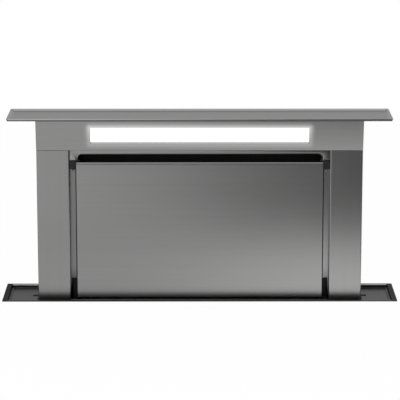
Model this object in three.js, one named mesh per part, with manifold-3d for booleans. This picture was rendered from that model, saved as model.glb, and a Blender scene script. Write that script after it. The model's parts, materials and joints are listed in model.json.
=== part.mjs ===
// Telescopic downdraft vent for a worktop, shown raised. Millimetres, +Z up, the front faces -Y.
import * as THREE from 'three';
import { mergeVertices } from 'three/addons/utils/BufferGeometryUtils.js';
import Module from 'manifold-3d';

const wasm = await Module();
wasm.setup();

// ---- Driving dimensions ----

// Clearances
const seat = 0.3; // between pieces that touch
const sheet = 1.2; // steel sheet of the column and the housing

// Worktop flange: a tray pressed in two steps
const flangeWidth = 880;
const flangeDepth = 150;
const flangeCorner = 3;
const rimHeight = 2; // above the worktop
const rimSide = 11;
const rimFront = 9;
const recessDepth = 5.5;
const ledgeWidth = 5;
const stepDepth = 2.3;
const trayWall = 1.2;
const openingGap = 3; // round the column
const notchWidth = 14;
const notchReach = 12;

// Cap plate
const capGapSide = 5;
const capGapFront = 2;
const capThickness = 4;
const capRim = 7;
const capInset = 0.8;
const capChamfer = 1.2;
const sealThickness = 1;
const sealWidth = 6;

// Column
const raisedHeight = 409; // cap top above the rim
const columnWidth = 722;
const columnDepth = 80;
const columnOverlap = 110; // length still in the housing when raised
const headHeight = 71;
const headSlant = 15; // how far the fascia's top leans forward
const headReturn = 12;
const beamSetback = 22; // behind the column's front
const windowWidth = 483;
const windowHeight = 37;
const windowDrop = 19; // below the top of the fascia
const windowRecess = 9;
const lightTrayDepth = 20;
const lightTrayLip = 6;
const diffuserThickness = 2.5;
const ledBoardThickness = 1.2;
const lintelHeight = 13;
const lintelSetback = 6; // behind the column's front
const lintelRoll = 8; // radius of its rolled edge
const lintelLeg = 21; // width of the ends that reach down to the catches
const lintelCorner = 6;
const suctionSlot = 14;

// Front panel
const panelWidth = 546;
const panelGapSide = 15.5;
const panelBottomDrop = 1; // below the rim
const panelGapBottom = 5;
const panelDepth = 11;
const panelSheet = 1.2;
const panelCorner = 1.5;
const hingeHeight = 9; // pin above the panel's lower edge
const hingeInset = 9; // pin behind the panel's face
const hingePinRadius = 2.5;
const hingePinLength = 7;
const hingePinGap = 0.25;
const hingeEar = 3;
const hingeEarRadius = 6;
const hingeEarHeight = 20;
const stiffenerWidth = 60;
const stiffenerDepth = 6;
const stiffenerLip = 12;

// Inside the column
const jambDepth = 16;
const landingWidth = 26;
const landingCutHeight = 40; // above the rim, beside the panel's foot
const landingSlotDrop = 4; // below the panel's top
const ductWallInset = 18.5; // from the jamb
const ductWallFoot = 14;
const deckSetback = 46; // deck's back face behind the column's front
const deckChannel = 12;
const deckLip = 9;
const filterHeight = 285;
const filterGap = 6; // between the two filters
const filterFrame = 12;
const filterPleats = 18;
const filterSheet = 0.8;
const latchWidth = 36;
const latchHeight = 22;
const latchThickness = 2;
const latchTravel = 6;
const latchGrip = 3;
const catchHeight = 19;
const catchDepth = 13;
const catchRise = 3; // above the panel

// Housing under the worktop
const legHeight = 60;
const apronHeight = 15; // the housing bottom's folded edges
const housingHeight = 610; // from its bottom to the worktop's underside
const housingSideGap = 22; // beside the column
const housingFrontGap = 7.5; // in front of the head's foremost edge
const housingBackGap = 6;
const housingFlange = 12;
const housingLip = 3.5;
const railDepth = 12;
const railWidth = 24;
const railEndGap = 6;
const shoeHeight = 90;
const shoePlay = 0.3;
const shoeDrop = 2; // below the opening's seal
const openingSealHeight = 3.6;
const openingSealWidth = 2;
const openingSealPlay = 1.3;

// Lift drive
const screwRadius = 8;
const screwPlay = 0.5;
const screwY = 22;
const screwOverrun = 3; // above the nut
const nutRadius = 16;
const nutHeight = 22;
const nutRimHeight = 5;
const nutRim = 3;
const crossbarSheet = 3;
const crossbarTongue = 42;
const airOpeningDepth = 28;
const gearboxWidth = 70;
const gearboxHeight = 62;
const gearboxSocket = 20; // depth of the screw's socket
const turretHeight = 8;
const motorRadius = 23;
const motorLength = 118;
const motorNeck = 7;
const motorNeckLength = 8;
const motorCap = 4;
const motorCapLength = 12;
const motorBevel = 2;

// Blower
const blowerHeight = 300; // shaft above the floor
const inletRadius = 72;
const impellerRadius = 100;
const impellerHub = 14;
const impellerHubFillet = 10;
const impellerHubHeight = 12;
const bladeCount = 32;
const bladeDepth = 15;
const bladeThickness = 1.4;
const bladeLean = 0.16; // forward sweep of the tips, radians
const bladeWidth = 84;
const discThickness = 2;
const scrollWidth = 105.4;
const scrollWall = 2;
const scrollMin = 106;
const scrollMax = 190;
const scrollFlange = 8;
const tongueDrop = 81;
const outletReach = 200;
const bellLength = 12;
const bellWall = 2;
const fanMotorRadius = 44;
const fanMotorLength = 48;
const fanMotorFlange = 58;
const fanMotorFlangeSheet = 3;
const fanMotorBevel = 10;
const fanMotorShoulder = 5;
const fanShaftReach = 10; // into the impeller's hub
const fanShaftRadius = 4;
const fanShaftPlay = 0.1;
const spigotRadius = 75;
const spigotWall = 1.5;
const spigotLength = 50;
const spigotGap = 4; // to the housing's front
const collarLength = 40;
const flapThickness = 1.2;
const flapPlay = 1;
const flapPinRadius = 2.5;
const flapBarrelRadius = 4.2;
const flapBarrelPlay = 0.3;
const flapSetback = 22; // pin inside the spigot

// Control box
const boxWidth = 130;
const boxHeight = 180;
const boxDepth = 50;
const boxWall = 1.6;
const boxLeft = -350;
const boxBottom = 370;
const glandRadius = 9;
const glandBore = 4;
const glandHole = 7;
const glandDrop = 16; // below the box
const glandBevel = 4;
const glandRise = 6;
const boardInset = 12;
const boardDepth = 6;
const ventCount = 6;
const ventPitch = 10;
const ventSlit = 3;
const ventLength = 39;
const ventInset = 20; // from the lid's edge
const ventRise = 30;

// Legs and clamps
const legSheet = 2.5;
const legFoot = 40;
const legWidth = 70;
const legRise = 140; // up the housing's side
const legFront = -190;
const legLip = 6; // edge above the foot
const legSlotWidth = 8;
const legSlotLength = 30;
const legSlotRise = 20; // above the housing's bottom
const clampWidth = 50;
const clampArm = 40;
const clampOffset = 22; // screw from the housing's side
const clampDrop = 45; // arm below the worktop's underside
const worktopThickness = 30;
const clampBoltRadius = 3;
const clampHeadRadius = 9;
const clampHeadHeight = 10;
const clampHeadDrop = 22; // below the arm
const clampPadRadius = 12;
const clampPadHeight = 4;
const sensorLength = 30;
const sensorWidth = 16;
const sensorDepth = 10;
const sensorGap = 4; // from the rail

// ---- Derived levels and planes ----

const worktopZ = legHeight + housingHeight;
const rimTop = worktopZ + rimHeight;
const columnFront = -columnDepth / 2;
const columnBack = columnDepth / 2;
const columnSide = columnWidth / 2;
const headFront = columnFront - headSlant;
const recessHalfWidth = flangeWidth / 2 - rimSide;
const recessHalfDepth = flangeDepth / 2 - rimFront;
const trayDepth = recessDepth + stepDepth + trayWall;
const capHalfWidth = recessHalfWidth - capGapSide;
const capHalfDepth = recessHalfDepth - capGapFront;
const openingFront = headFront - openingGap;
const openingBack = columnBack + openingGap;
const openingSide = columnSide + openingGap;

// Heights in the column's own frame, whose zero is the rim's top
const capBottom = raisedHeight - capThickness;
const headTop = capBottom - seat;
const headBottom = capBottom - headHeight;
const pillarTop = headBottom - seat;
const lintelBottom = headBottom - lintelHeight;
const panelTop = lintelBottom - suctionSlot;
const panelBottom = -panelBottomDrop;
const shelfTop = panelBottom - panelGapBottom;
const columnBottom = -columnOverlap;
const columnFoot = columnBottom + crossbarSheet + seat; // where the column's walls stand on the crossbar

// Planes in the column
const jambSide = panelWidth / 2 + panelGapSide;
const landingFront = columnFront + jambDepth;
const landingInner = jambSide - landingWidth;
const lintelFront = columnFront + lintelSetback;
const lintelBack = landingFront - seat;
const lintelInner = jambSide - lintelLeg;
const lintelSteps = [0, 1, 2, 3, 4, 5, 6].map((step) => (step / 6) * (Math.PI / 2));
const ductWallSide = jambSide - ductWallInset;
const deckBack = columnFront + deckSetback;
const backPanelInner = columnBack - sheet;
const hingeY = columnFront + hingeInset;
const hingeZ = panelBottom + hingeHeight;

// Housing planes
const housingInner = columnSide + housingSideGap;
const housingSide = housingInner + sheet;
const housingFrontInner = headFront - housingFrontGap;
const housingFront = housingFrontInner - sheet;
const housingBackInner = columnBack + housingBackGap;
const housingBack = housingBackInner + sheet;
const housingTop = rimTop - trayDepth - seat;
const panInner = legHeight + sheet;
const wallBottom = panInner + seat;

// Blower planes
const inletPlateBack = housingFront - seat;
const inletPlateFront = inletPlateBack - scrollWall;
const scrollBack = inletPlateFront - seat;
const scrollFront = scrollBack - scrollWidth;
const outletY = (scrollBack + scrollFront) / 2;
const outletZ = blowerHeight - (tongueDrop + scrollMax) / 2;
const spigotY = housingFront - spigotGap - spigotRadius;
const flapX = outletReach + seat + collarLength + flapSetback;
const bladeBack = inletPlateFront - bellLength + 2;
const bladeFront = bladeBack - bladeWidth;

// The object is centred on its own footprint
const motorFront = scrollFront - fanMotorLength;
const frameShift = -(motorFront + flangeDepth / 2) / 2;

// ---- Materials ----

function metal(color, roughness) {
  return new THREE.MeshStandardMaterial({ color, roughness, metalness: 1 });
}

function plastic(color, roughness) {
  return new THREE.MeshStandardMaterial({ color, roughness, metalness: 0 });
}

const brushedSteel = () => metal(0x9a9a98, 0.38);
const galvanised = () => metal(0xa6abad, 0.5);
const machinedSteel = () => metal(0xb4b4b2, 0.3);
const aluminium = () => metal(0xc4c6c8, 0.42);
const blackPlastic = () => plastic(0x1d1e20, 0.6);
const greyPlastic = () => plastic(0x4a4d50, 0.65);
const rubber = () => plastic(0x151515, 0.85);
const board = () => plastic(0x1f5a38, 0.5);
const darkCoating = () => plastic(0x161617, 0.6);

function litAcrylic() {
  return new THREE.MeshStandardMaterial({ color: 0xffffff, emissive: 0xffffff, roughness: 0.5, metalness: 0 });
}

// ---- Solid helpers ----

function toSolid(geometry) {
  const plain = geometry.index ? geometry.toNonIndexed() : geometry.clone();
  plain.deleteAttribute('normal');
  plain.deleteAttribute('uv');
  const merged = mergeVertices(plain, 1e-4);
  const data = {
    numProp: 3,
    vertProperties: new Float32Array(merged.attributes.position.array),
    triVerts: new Uint32Array(merged.index.array),
  };
  return new wasm.Manifold(new wasm.Mesh(data));
}

function toGeometry(solid) {
  const { vertProperties, triVerts } = solid.getMesh();
  const geometry = new THREE.BufferGeometry();
  geometry.setAttribute('position', new THREE.BufferAttribute(vertProperties, 3));
  geometry.setIndex(new THREE.BufferAttribute(triVerts, 1));
  return geometry;
}

function union(...geometries) {
  return toGeometry(geometries.map(toSolid).reduce((all, next) => all.add(next)));
}

function cut(geometry, ...tools) {
  return toGeometry(tools.map(toSolid).reduce((all, tool) => all.subtract(tool), toSolid(geometry)));
}

function box([x0, x1], [y0, y1], [z0, z1]) {
  const geometry = new THREE.BoxGeometry(x1 - x0, y1 - y0, z1 - z0);
  return geometry.translate((x0 + x1) / 2, (y0 + y1) / 2, (z0 + z1) / 2);
}

function extrude(shape, length, bevel) {
  const options = { depth: length, bevelEnabled: false, curveSegments: 8 };
  return new THREE.ExtrudeGeometry(shape, { ...options, ...bevel });
}

// A shape in X and Y, raised from z0 to z1
function alongZ(shape, z0, z1) {
  return extrude(shape, z1 - z0).translate(0, 0, z0);
}

// A shape in Y and Z, drawn out from x0 to x1
function alongX(shape, x0, x1) {
  const turn = new THREE.Matrix4().set(0, 0, 1, 0, 1, 0, 0, 0, 0, 1, 0, 0, 0, 0, 0, 1);
  return extrude(shape, x1 - x0).applyMatrix4(turn).translate(x0, 0, 0);
}

// A shape in X and Z, drawn out from y0 to y1
function alongY(shape, y0, y1) {
  return extrude(shape, y1 - y0).rotateX(Math.PI / 2).translate(0, y1, 0);
}

function polygon(points) {
  return new THREE.Shape(points.map(([u, v]) => new THREE.Vector2(u, v)));
}

function rectangle(halfWidth, low, high, corner = 0) {
  const shape = new THREE.Shape();
  if (corner === 0) {
    return polygon([[-halfWidth, low], [halfWidth, low], [halfWidth, high], [-halfWidth, high]]);
  }
  shape.absarc(halfWidth - corner, low + corner, corner, -Math.PI / 2, 0);
  shape.absarc(halfWidth - corner, high - corner, corner, 0, Math.PI / 2);
  shape.absarc(corner - halfWidth, high - corner, corner, Math.PI / 2, Math.PI);
  shape.absarc(corner - halfWidth, low + corner, corner, Math.PI, Math.PI * 1.5);
  return shape;
}

function withHoles(shape, ...holes) {
  shape.holes.push(...holes);
  return shape;
}

// A folded sheet: the line of one face, and the sheet's thickness to the left of it (negative: to the right)
function folded(points, thickness) {
  const line = points.map(([u, v]) => new THREE.Vector2(u, v));
  const normals = line.slice(1).map((point, i) => {
    const along = point.clone().sub(line[i]).normalize();
    return new THREE.Vector2(-along.y, along.x);
  });
  const other = line.map((point, i) => {
    const before = normals[Math.max(i - 1, 0)];
    const after = normals[Math.min(i, normals.length - 1)];
    const reach = thickness / (1 + before.dot(after));
    return point.clone().addScaledVector(before.clone().add(after), reach);
  });
  return new THREE.Shape([...line, ...other.reverse()]);
}

function mirrored(points) {
  return points.map(([u, v]) => [-u, v]);
}

// A lathe whose axis runs along Y: each profile point is [radius, y]
function turnedY(profile, segments = 32) {
  const points = profile.map(([radius, y]) => new THREE.Vector2(radius, y));
  return new THREE.LatheGeometry(points, segments);
}

// A lathe whose axis runs along Z
function turnedZ(profile, segments = 32) {
  return turnedY(profile, segments).rotateX(Math.PI / 2);
}

function cylinderX(radius, x0, x1, y, z, segments = 24) {
  const geometry = new THREE.CylinderGeometry(radius, radius, x1 - x0, segments);
  return geometry.rotateZ(Math.PI / 2).translate((x0 + x1) / 2, y, z);
}

function cylinderY(radius, y0, y1, x, z, segments = 24) {
  return new THREE.CylinderGeometry(radius, radius, y1 - y0, segments).translate(x, (y0 + y1) / 2, z);
}

function cylinderZ(radius, z0, z1, x, y, segments = 24) {
  const geometry = new THREE.CylinderGeometry(radius, radius, z1 - z0, segments);
  return geometry.rotateX(Math.PI / 2).translate(x, y, (z0 + z1) / 2);
}

// A skin through loops of points. A ring's last loop meets its first; otherwise both ends are closed
function lofted(loops, ring = false) {
  const count = loops[0].length;
  const index = [];
  const bands = ring ? loops.length : loops.length - 1;
  for (let start = 0; start < bands; start += 1) {
    const next = (start + 1) % loops.length;
    for (let i = 0; i < count; i += 1) {
      const j = (i + 1) % count;
      const [a, b, c, d] = [start * count + i, start * count + j, next * count + j, next * count + i];
      index.push(a, b, c, a, c, d);
    }
  }
  const last = (loops.length - 1) * count;
  for (let i = 1; !ring && i < count - 1; i += 1) {
    index.push(0, i + 1, i, last, last + i, last + i + 1);
  }
  const geometry = new THREE.BufferGeometry();
  geometry.setAttribute('position', new THREE.Float32BufferAttribute(loops.flat(2), 3));
  geometry.setIndex(index);
  return geometry;
}

function place(group, name, geometry, material) {
  const mesh = new THREE.Mesh(geometry, material);
  mesh.name = name;
  group.add(mesh);
  return mesh;
}

// Both hands of a piece: build(side) gets +1 for the right and -1 for the left
function placePair(group, name, build, material) {
  place(group, `${name}_left`, build(-1), material());
  place(group, `${name}_right`, build(1), material());
}

// An x range that starts at one distance from the middle and ends at another, on either side
function span(side, inner, outer) {
  return side > 0 ? [inner, outer] : [-outer, -inner];
}

// ---- Worktop flange ----

function flange() {
  const outline = rectangle(flangeWidth / 2, -flangeDepth / 2, flangeDepth / 2, flangeCorner);
  const rim = alongZ(outline, -rimHeight, 0);
  const wallX = recessHalfWidth + trayWall;
  const wallY = recessHalfDepth + trayWall;
  const tray = box([-wallX, wallX], [-wallY, wallY], [-trayDepth, -rimHeight / 2]);
  const recess = box(
    [-recessHalfWidth, recessHalfWidth], [-recessHalfDepth, recessHalfDepth], [-recessDepth, 1]);
  const stepX = recessHalfWidth - ledgeWidth;
  const stepY = recessHalfDepth - ledgeWidth;
  const step = box([-stepX, stepX], [-stepY, stepY], [-recessDepth - stepDepth, 0]);
  const opening = box([-openingSide, openingSide], [openingFront, openingBack], [-trayDepth - 1, 0]);
  const notchX = openingSide + notchReach;
  const notches = box([-notchX, notchX], [-notchWidth / 2, notchWidth / 2], [-trayDepth - 1, 0]);
  return cut(union(rim, tray), recess, step, opening, notches);
}

function openingSeal() {
  const innerX = columnSide + openingSealPlay;
  const innerFront = headFront - openingSealPlay;
  const innerBack = columnBack + openingSealPlay;
  const outerX = openingSide + notchReach + openingSealPlay;
  const outer = rectangle(outerX, innerFront - openingSealWidth, innerBack + openingSealWidth);
  const hole = rectangle(innerX, innerFront, innerBack);
  const top = -trayDepth - seat;
  return alongZ(withHoles(outer, hole), top - openingSealHeight, top);
}

// ---- Cap and head ----

function capPlate() {
  const half = capHalfWidth - capChamfer;
  const outline = rectangle(half, capChamfer - capHalfDepth, capHalfDepth - capChamfer, flangeCorner);
  const bevel = {
    bevelEnabled: true, bevelThickness: capChamfer, bevelSize: capChamfer, bevelSegments: 1, steps: 1,
  };
  const slab = extrude(outline, capThickness - 2 * capChamfer, bevel).translate(0, 0, capBottom + capChamfer);
  const insetX = capHalfWidth - capRim;
  const insetY = capHalfDepth - capRim;
  const inset = box([-insetX, insetX], [-insetY, insetY], [raisedHeight - capInset, raisedHeight + 1]);
  return cut(slab, inset);
}

function capSeal() {
  const outerX = capHalfWidth - capChamfer;
  const outerY = capHalfDepth - capChamfer;
  const innerX = outerX - sealWidth;
  const innerY = outerY - sealWidth;
  const ring = withHoles(rectangle(outerX, -outerY, outerY, flangeCorner), rectangle(innerX, -innerY, innerY));
  return alongZ(ring, headTop - sealThickness, headTop);
}

// The face's own frame: origin at its lower front edge, Z up the slant, Y into the head
const faceTilt = Math.atan2(headSlant, headTop - headBottom);
const faceLength = Math.hypot(headSlant, headTop - headBottom);
const windowTop = faceLength - windowDrop;
const windowBottom = windowTop - windowHeight;
const lightTrayFront = sheet + seat;
const lightTrayBack = lightTrayFront + lightTrayDepth;

function onFace(geometry) {
  return geometry.rotateX(faceTilt).translate(0, columnFront, headBottom);
}

function headFascia() {
  const skin = folded([
    [headFront + headReturn, headTop], [headFront, headTop],
    [columnFront, headBottom], [columnFront + headReturn, headBottom]], sheet);
  const face = alongX(skin, -columnSide, columnSide);
  const cheek = polygon([
    [headFront, headTop], [columnFront, headBottom],
    [backPanelInner - seat, headBottom], [backPanelInner - seat, headTop]]);
  const left = alongX(cheek, -columnSide, sheet - columnSide);
  const right = alongX(cheek, columnSide - sheet, columnSide);
  const opening = onFace(box([-windowWidth / 2, windowWidth / 2], [-5, 5], [windowBottom, windowTop]));
  return cut(union(face, left, right), opening);
}

function headBeam() {
  const front = columnFront + beamSetback;
  const back = backPanelInner - sheet;
  const bottom = headBottom + sheet + seat;
  const top = bottom + headReturn;
  const channel = folded([[front, top], [front, bottom], [back, bottom], [back, top]], sheet);
  const side = columnSide - sheet - seat;
  return alongX(channel, -side, side);
}

function lightTray() {
  const half = windowWidth / 2;
  const outer = half + lightTrayLip;
  const shell = box(
    [-outer, outer], [lightTrayFront, lightTrayBack], [windowBottom - lightTrayLip, windowTop + lightTrayLip]);
  const cavity = box([-half, half], [0, lightTrayBack - sheet], [windowBottom, windowTop]);
  return onFace(cut(shell, cavity));
}

function lightDiffuser() {
  const half = windowWidth / 2 - seat;
  const depth = [windowRecess, windowRecess + diffuserThickness];
  return onFace(box([-half, half], depth, [windowBottom + seat, windowTop - seat]));
}

function ledBoard() {
  const half = windowWidth / 2 - seat;
  const back = lightTrayBack - sheet - seat;
  return onFace(box([-half, half], [back - ledBoardThickness, back], [windowBottom + seat, windowTop - seat]));
}

// ---- Column body ----

// The slot that the lintel frames, widened all round, as a loop of points at y
function slotLoop(y, widened) {
  const radius = lintelCorner + widened;
  const half = lintelInner + widened;
  const corner = (side, start) => lintelSteps.map((step) => {
    const angle = start + step;
    const x = side * (lintelInner - lintelCorner) + radius * Math.cos(angle);
    return [x, y, lintelBottom - lintelCorner + radius * Math.sin(angle)];
  });
  return [[-half, y, panelTop], [half, y, panelTop], ...corner(1, 0), ...corner(-1, Math.PI / 2)];
}

// The frame above the slot: a bar under the head, whose ends reach down to the catches
function lintel() {
  const half = jambSide - seat;
  const legBottom = panelTop + catchRise + seat;
  const plate = box([-half, half], [lintelFront, lintelBack], [legBottom, pillarTop]);
  const roll = lintelSteps.map((angle) => slotLoop(
    lintelFront + lintelRoll * (1 - Math.sin(angle)), lintelRoll * (1 - Math.cos(angle))));
  const slot = lofted([slotLoop(lintelBack + 1, 0), ...roll, slotLoop(lintelFront - 1, lintelRoll)]);
  return cut(plate, slot);
}

function pillar(side) {
  const line = [
    [landingInner, landingFront], [jambSide, landingFront], [jambSide, columnFront],
    [columnSide, columnFront], [columnSide, backPanelInner - seat]];
  const profile = side > 0 ? folded(line, sheet) : folded(mirrored(line), -sheet);
  const through = [landingFront - 1, landingFront + sheet + 1];
  const reliefBottom = shelfTop - sheet - seat;
  // the landing is cut away where the panel's lower corner swings, and higher in the gap beside it
  const relief = box(
    span(side, landingInner - 1, panelWidth / 2 + 1), through, [reliefBottom, hingeZ + hingeHeight]);
  const gapRelief = box(
    span(side, panelWidth / 2, jambSide - sheet - 1), through, [reliefBottom, landingCutHeight]);
  // and beside the slot, behind the lintel's rolled end
  const slotRelief = box(
    span(side, landingInner - 1, lintelInner), through, [panelTop - landingSlotDrop, pillarTop + 1]);
  return cut(alongZ(profile, columnFoot, pillarTop), relief, gapRelief, slotRelief);
}

function backPanel() {
  return box([-columnSide, columnSide], [backPanelInner, columnBack], [columnFoot, headTop]);
}

function ductWall(side) {
  const front = landingFront + sheet + seat + sheet;
  const line = [
    [ductWallSide + ductWallFoot, front], [ductWallSide, front], [ductWallSide, backPanelInner - seat]];
  const profile = side > 0 ? folded(line, sheet) : folded(mirrored(line), -sheet);
  return alongZ(profile, columnFoot, pillarTop);
}

function filterDeck() {
  const half = ductWallSide - sheet - seat;
  const bottom = shelfTop + seat;
  const front = deckBack - deckChannel;
  const channel = folded([
    [front, bottom + deckLip], [front, bottom], [deckBack, bottom], [deckBack, pillarTop]], sheet);
  const low = bottom + sheet + seat + filterFrame;
  const high = low + filterHeight - 2 * filterFrame;
  const windows = [-1, 1].map((side) => box(
    span(side, filterGap / 2 + filterFrame, half - filterFrame), [deckBack - 5, deckBack + 5], [low, high]));
  return cut(alongX(channel, -half, half), ...windows);
}

function lowerFascia() {
  const profile = folded([[deckBack, shelfTop], [columnFront, shelfTop], [columnFront, columnFoot]], sheet);
  const half = ductWallSide - sheet - seat;
  const wide = jambSide - seat;
  const shelf = alongX(profile, -half, half);
  const face = box([-wide, wide], [columnFront, columnFront + sheet], [columnFoot, shelfTop]);
  return union(shelf, face);
}

// The pleated mesh in its frame
function greaseFilter(side) {
  const inner = filterGap / 2;
  const outer = ductWallSide - sheet - 2 * seat;
  const low = shelfTop + 2 * seat + sheet;
  const front = deckBack - deckChannel + sheet + seat;
  const back = deckBack - sheet - seat;
  const frame = cut(
    box(span(side, inner, outer), [front, back], [low, low + filterHeight]),
    box(span(side, inner + filterFrame, outer - filterFrame), [front - 1, back + 1],
      [low + filterFrame, low + filterHeight - filterFrame]));
  const pitch = (outer - inner - 2 * filterFrame + 2) / filterPleats;
  const crests = Array.from({ length: filterPleats + 1 }, (_, i) => {
    const depth = i % 2 ? front + filterSheet : back - 2 * filterSheet;
    return [side * (inner + filterFrame - 1 + i * pitch), depth];
  });
  const pleats = alongZ(
    folded(crests, side * filterSheet), low + filterFrame - 1, low + filterHeight - filterFrame + 1);
  return union(frame, pleats);
}

// A sliding tongue on the filter's upper rail
function filterLatch(side) {
  const middle = side * (filterGap / 2 + ductWallSide) / 2;
  const x = [middle - latchWidth / 2, middle + latchWidth / 2];
  const front = deckBack - deckChannel + sheet - latchThickness;
  const top = shelfTop + 2 * seat + sheet + filterHeight + latchTravel;
  const plate = box(x, [front, front + latchThickness], [top - latchHeight, top]);
  const low = top - latchHeight;
  const grip = box(
    [middle - latchWidth / 4, middle + latchWidth / 4], [front - latchGrip, front + 1], [low, low + latchGrip]);
  return union(plate, grip);
}

function panelCatch(side) {
  return box(
    span(side, panelWidth / 2 + 2 * seat, jambSide - seat),
    [landingFront - seat - catchDepth, landingFront - seat],
    [panelTop + catchRise - catchHeight, panelTop + catchRise]);
}

function hingeBracket(side) {
  const pinEnd = panelWidth / 2 - panelSheet - hingePinLength;
  const back = landingFront - seat;
  const outline = new THREE.Shape();
  outline.absarc(hingeY, hingeZ, hingeEarRadius, -Math.PI, 0);
  outline.lineTo(back, hingeZ + hingeHeight);
  outline.lineTo(back, hingeZ + hingeEarHeight);
  outline.lineTo(hingeY - hingeEarRadius, hingeZ + hingeEarHeight);
  const ear = alongX(outline, ...span(side, pinEnd + 1, pinEnd + 1 + hingeEar));
  const foot = box(
    span(side, landingInner + 1, jambSide - panelGapSide - panelSheet - 1), [back - sheet, back],
    [hingeZ + hingeHeight + 2, hingeZ + hingeEarHeight]);
  const bore = cylinderX(hingePinRadius + hingePinGap, -columnSide, columnSide, hingeY, hingeZ, 16);
  return cut(union(ear, foot), bore);
}

function baseCrossbar() {
  const plate = box(
    [-columnSide, columnSide], [columnFront, columnBack], [columnBottom, columnBottom + crossbarSheet]);
  const openings = [-1, 1].map((hand) => box(
    span(hand, crossbarTongue / 2, ductWallSide - sheet - 2),
    [backPanelInner - 1 - airOpeningDepth, backPanelInner - 1],
    [columnBottom - 1, columnBottom + crossbarSheet + 1]));
  const screwHole = cylinderZ(
    screwRadius + screwPlay, columnBottom - 1, columnBottom + crossbarSheet + 1, 0, screwY);
  return cut(plate, ...openings, screwHole);
}

function liftNut() {
  const low = columnFoot;
  const bore = screwRadius + screwPlay;
  const flangeRadius = Math.min(nutRadius, backPanelInner - seat - screwY);
  return turnedZ([
    [bore, low], [flangeRadius, low], [flangeRadius, low + nutRimHeight],
    [flangeRadius - nutRim, low + nutRimHeight], [flangeRadius - nutRim, low + nutHeight],
    [bore, low + nutHeight], [bore, low]]).translate(0, screwY, 0);
}

function slideShoe(side) {
  const top = -trayDepth - openingSealHeight - 3 * seat - shoeDrop;
  return box(
    span(side, columnSide + seat, housingInner - sheet - 2 * seat),
    [shoePlay + sheet - railWidth / 2, railWidth / 2 - sheet - shoePlay], [top - shoeHeight, top]);
}

// ---- Front panel ----

function frontPanel() {
  const half = panelWidth / 2;
  const back = columnFront + panelDepth;
  const outline = rectangle(half, panelBottom, panelTop, panelCorner);
  const pan = cut(
    alongY(outline, columnFront, back),
    box([panelSheet - half, half - panelSheet], [columnFront + panelSheet, back + 1],
      [panelBottom + panelSheet, panelTop - panelSheet]));
  const pins = [-1, 1].map((side) => {
    const reach = span(side, half - panelSheet - hingePinLength, half - panelSheet / 2);
    return cylinderX(hingePinRadius, ...reach, hingeY, hingeZ, 16);
  });
  return union(pan, ...pins);
}

function panelStiffener() {
  const half = panelWidth / 2 - panelSheet - hingePinLength - 2;
  const middle = (panelTop + panelBottom) / 2;
  const front = columnFront + panelSheet + seat;
  const foot = stiffenerWidth / 2;
  const crown = foot - stiffenerDepth;
  const hat = folded([
    [front, middle - foot - stiffenerLip], [front, middle - foot], [front + stiffenerDepth, middle - crown],
    [front + stiffenerDepth, middle + crown], [front, middle + foot], [front, middle + foot + stiffenerLip],
  ], -panelSheet);
  return alongX(hat, -half, half);
}

// ---- Housing ----

function housingFrontWall() {
  const profile = folded([
    [housingFront, wallBottom], [housingFront, housingTop], [housingFront + housingLip, housingTop]], -sheet);
  const wall = alongX(profile, -housingSide, housingSide);
  const bell = cylinderY(inletRadius + bellWall + 2, housingFront - 5, housingFront + 5, 0, blowerHeight, 40);
  return cut(wall, bell);
}

function housingBackWall() {
  const profile = folded([
    [housingBack, wallBottom], [housingBack, housingTop], [housingBack - housingLip, housingTop]], sheet);
  return alongX(profile, -housingSide, housingSide);
}

function housingSideWall(side) {
  const front = housingFrontInner + seat;
  const back = housingBackInner - seat;
  const line = [
    [housingSide - housingFlange, front], [housingSide, front],
    [housingSide, back], [housingSide - housingFlange, back]];
  const profile = side > 0 ? folded(line, sheet) : folded(mirrored(line), -sheet);
  return alongZ(profile, wallBottom, housingTop - sheet - seat);
}

function housingBottom() {
  const profile = folded([
    [housingFront, panInner - apronHeight], [housingFront, panInner],
    [housingBack, panInner], [housingBack, panInner - apronHeight]], -sheet);
  return alongX(profile, -housingSide, housingSide);
}

function guideRail(side) {
  const outer = housingInner - seat;
  const inner = outer - railDepth;
  const line = [
    [inner, -railWidth / 2], [outer, -railWidth / 2], [outer, railWidth / 2], [inner, railWidth / 2]];
  const profile = side > 0 ? folded(line, sheet) : folded(mirrored(line), -sheet);
  const top = housingTop - openingSealHeight - railEndGap;
  return alongZ(profile, wallBottom + railEndGap, top);
}

function leg(side) {
  const inner = housingSide + seat;
  const outline = polygon([
    [legFront, 0], [housingBack, 0], [housingBack, legHeight + legRise],
    [housingBack - legWidth, legHeight + legRise], [housingBack - legWidth, legHeight],
    [legFront, legSheet + legLip]]);
  const plate = alongX(outline, ...span(side, inner, inner + legSheet));
  const foot = box(span(side, inner, inner + legFoot), [legFront, housingBack], [0, legSheet]);
  const middle = housingBack - legWidth / 2;
  const slots = [0, 1].map((i) => {
    const low = legHeight + legSlotRise + i * legRise / 2;
    return box(
      span(side, inner - 1, inner + legSheet + 1),
      [middle - legSlotWidth / 2, middle + legSlotWidth / 2], [low, low + legSlotLength]);
  });
  return cut(union(plate, foot), ...slots);
}

function clampBracket(side) {
  const inner = housingSide + seat;
  const arm = worktopZ - worktopThickness - clampDrop;
  const line = [[inner, arm - clampArm], [inner, arm], [inner + clampArm, arm]];
  const profile = side > 0 ? folded(line, -legSheet) : folded(mirrored(line), legSheet);
  const bolt = cylinderZ(clampBoltRadius + seat, arm - clampArm, arm + 5, side * (inner + clampOffset), 0, 16);
  return cut(alongY(profile, -clampWidth / 2, clampWidth / 2), bolt);
}

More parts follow.
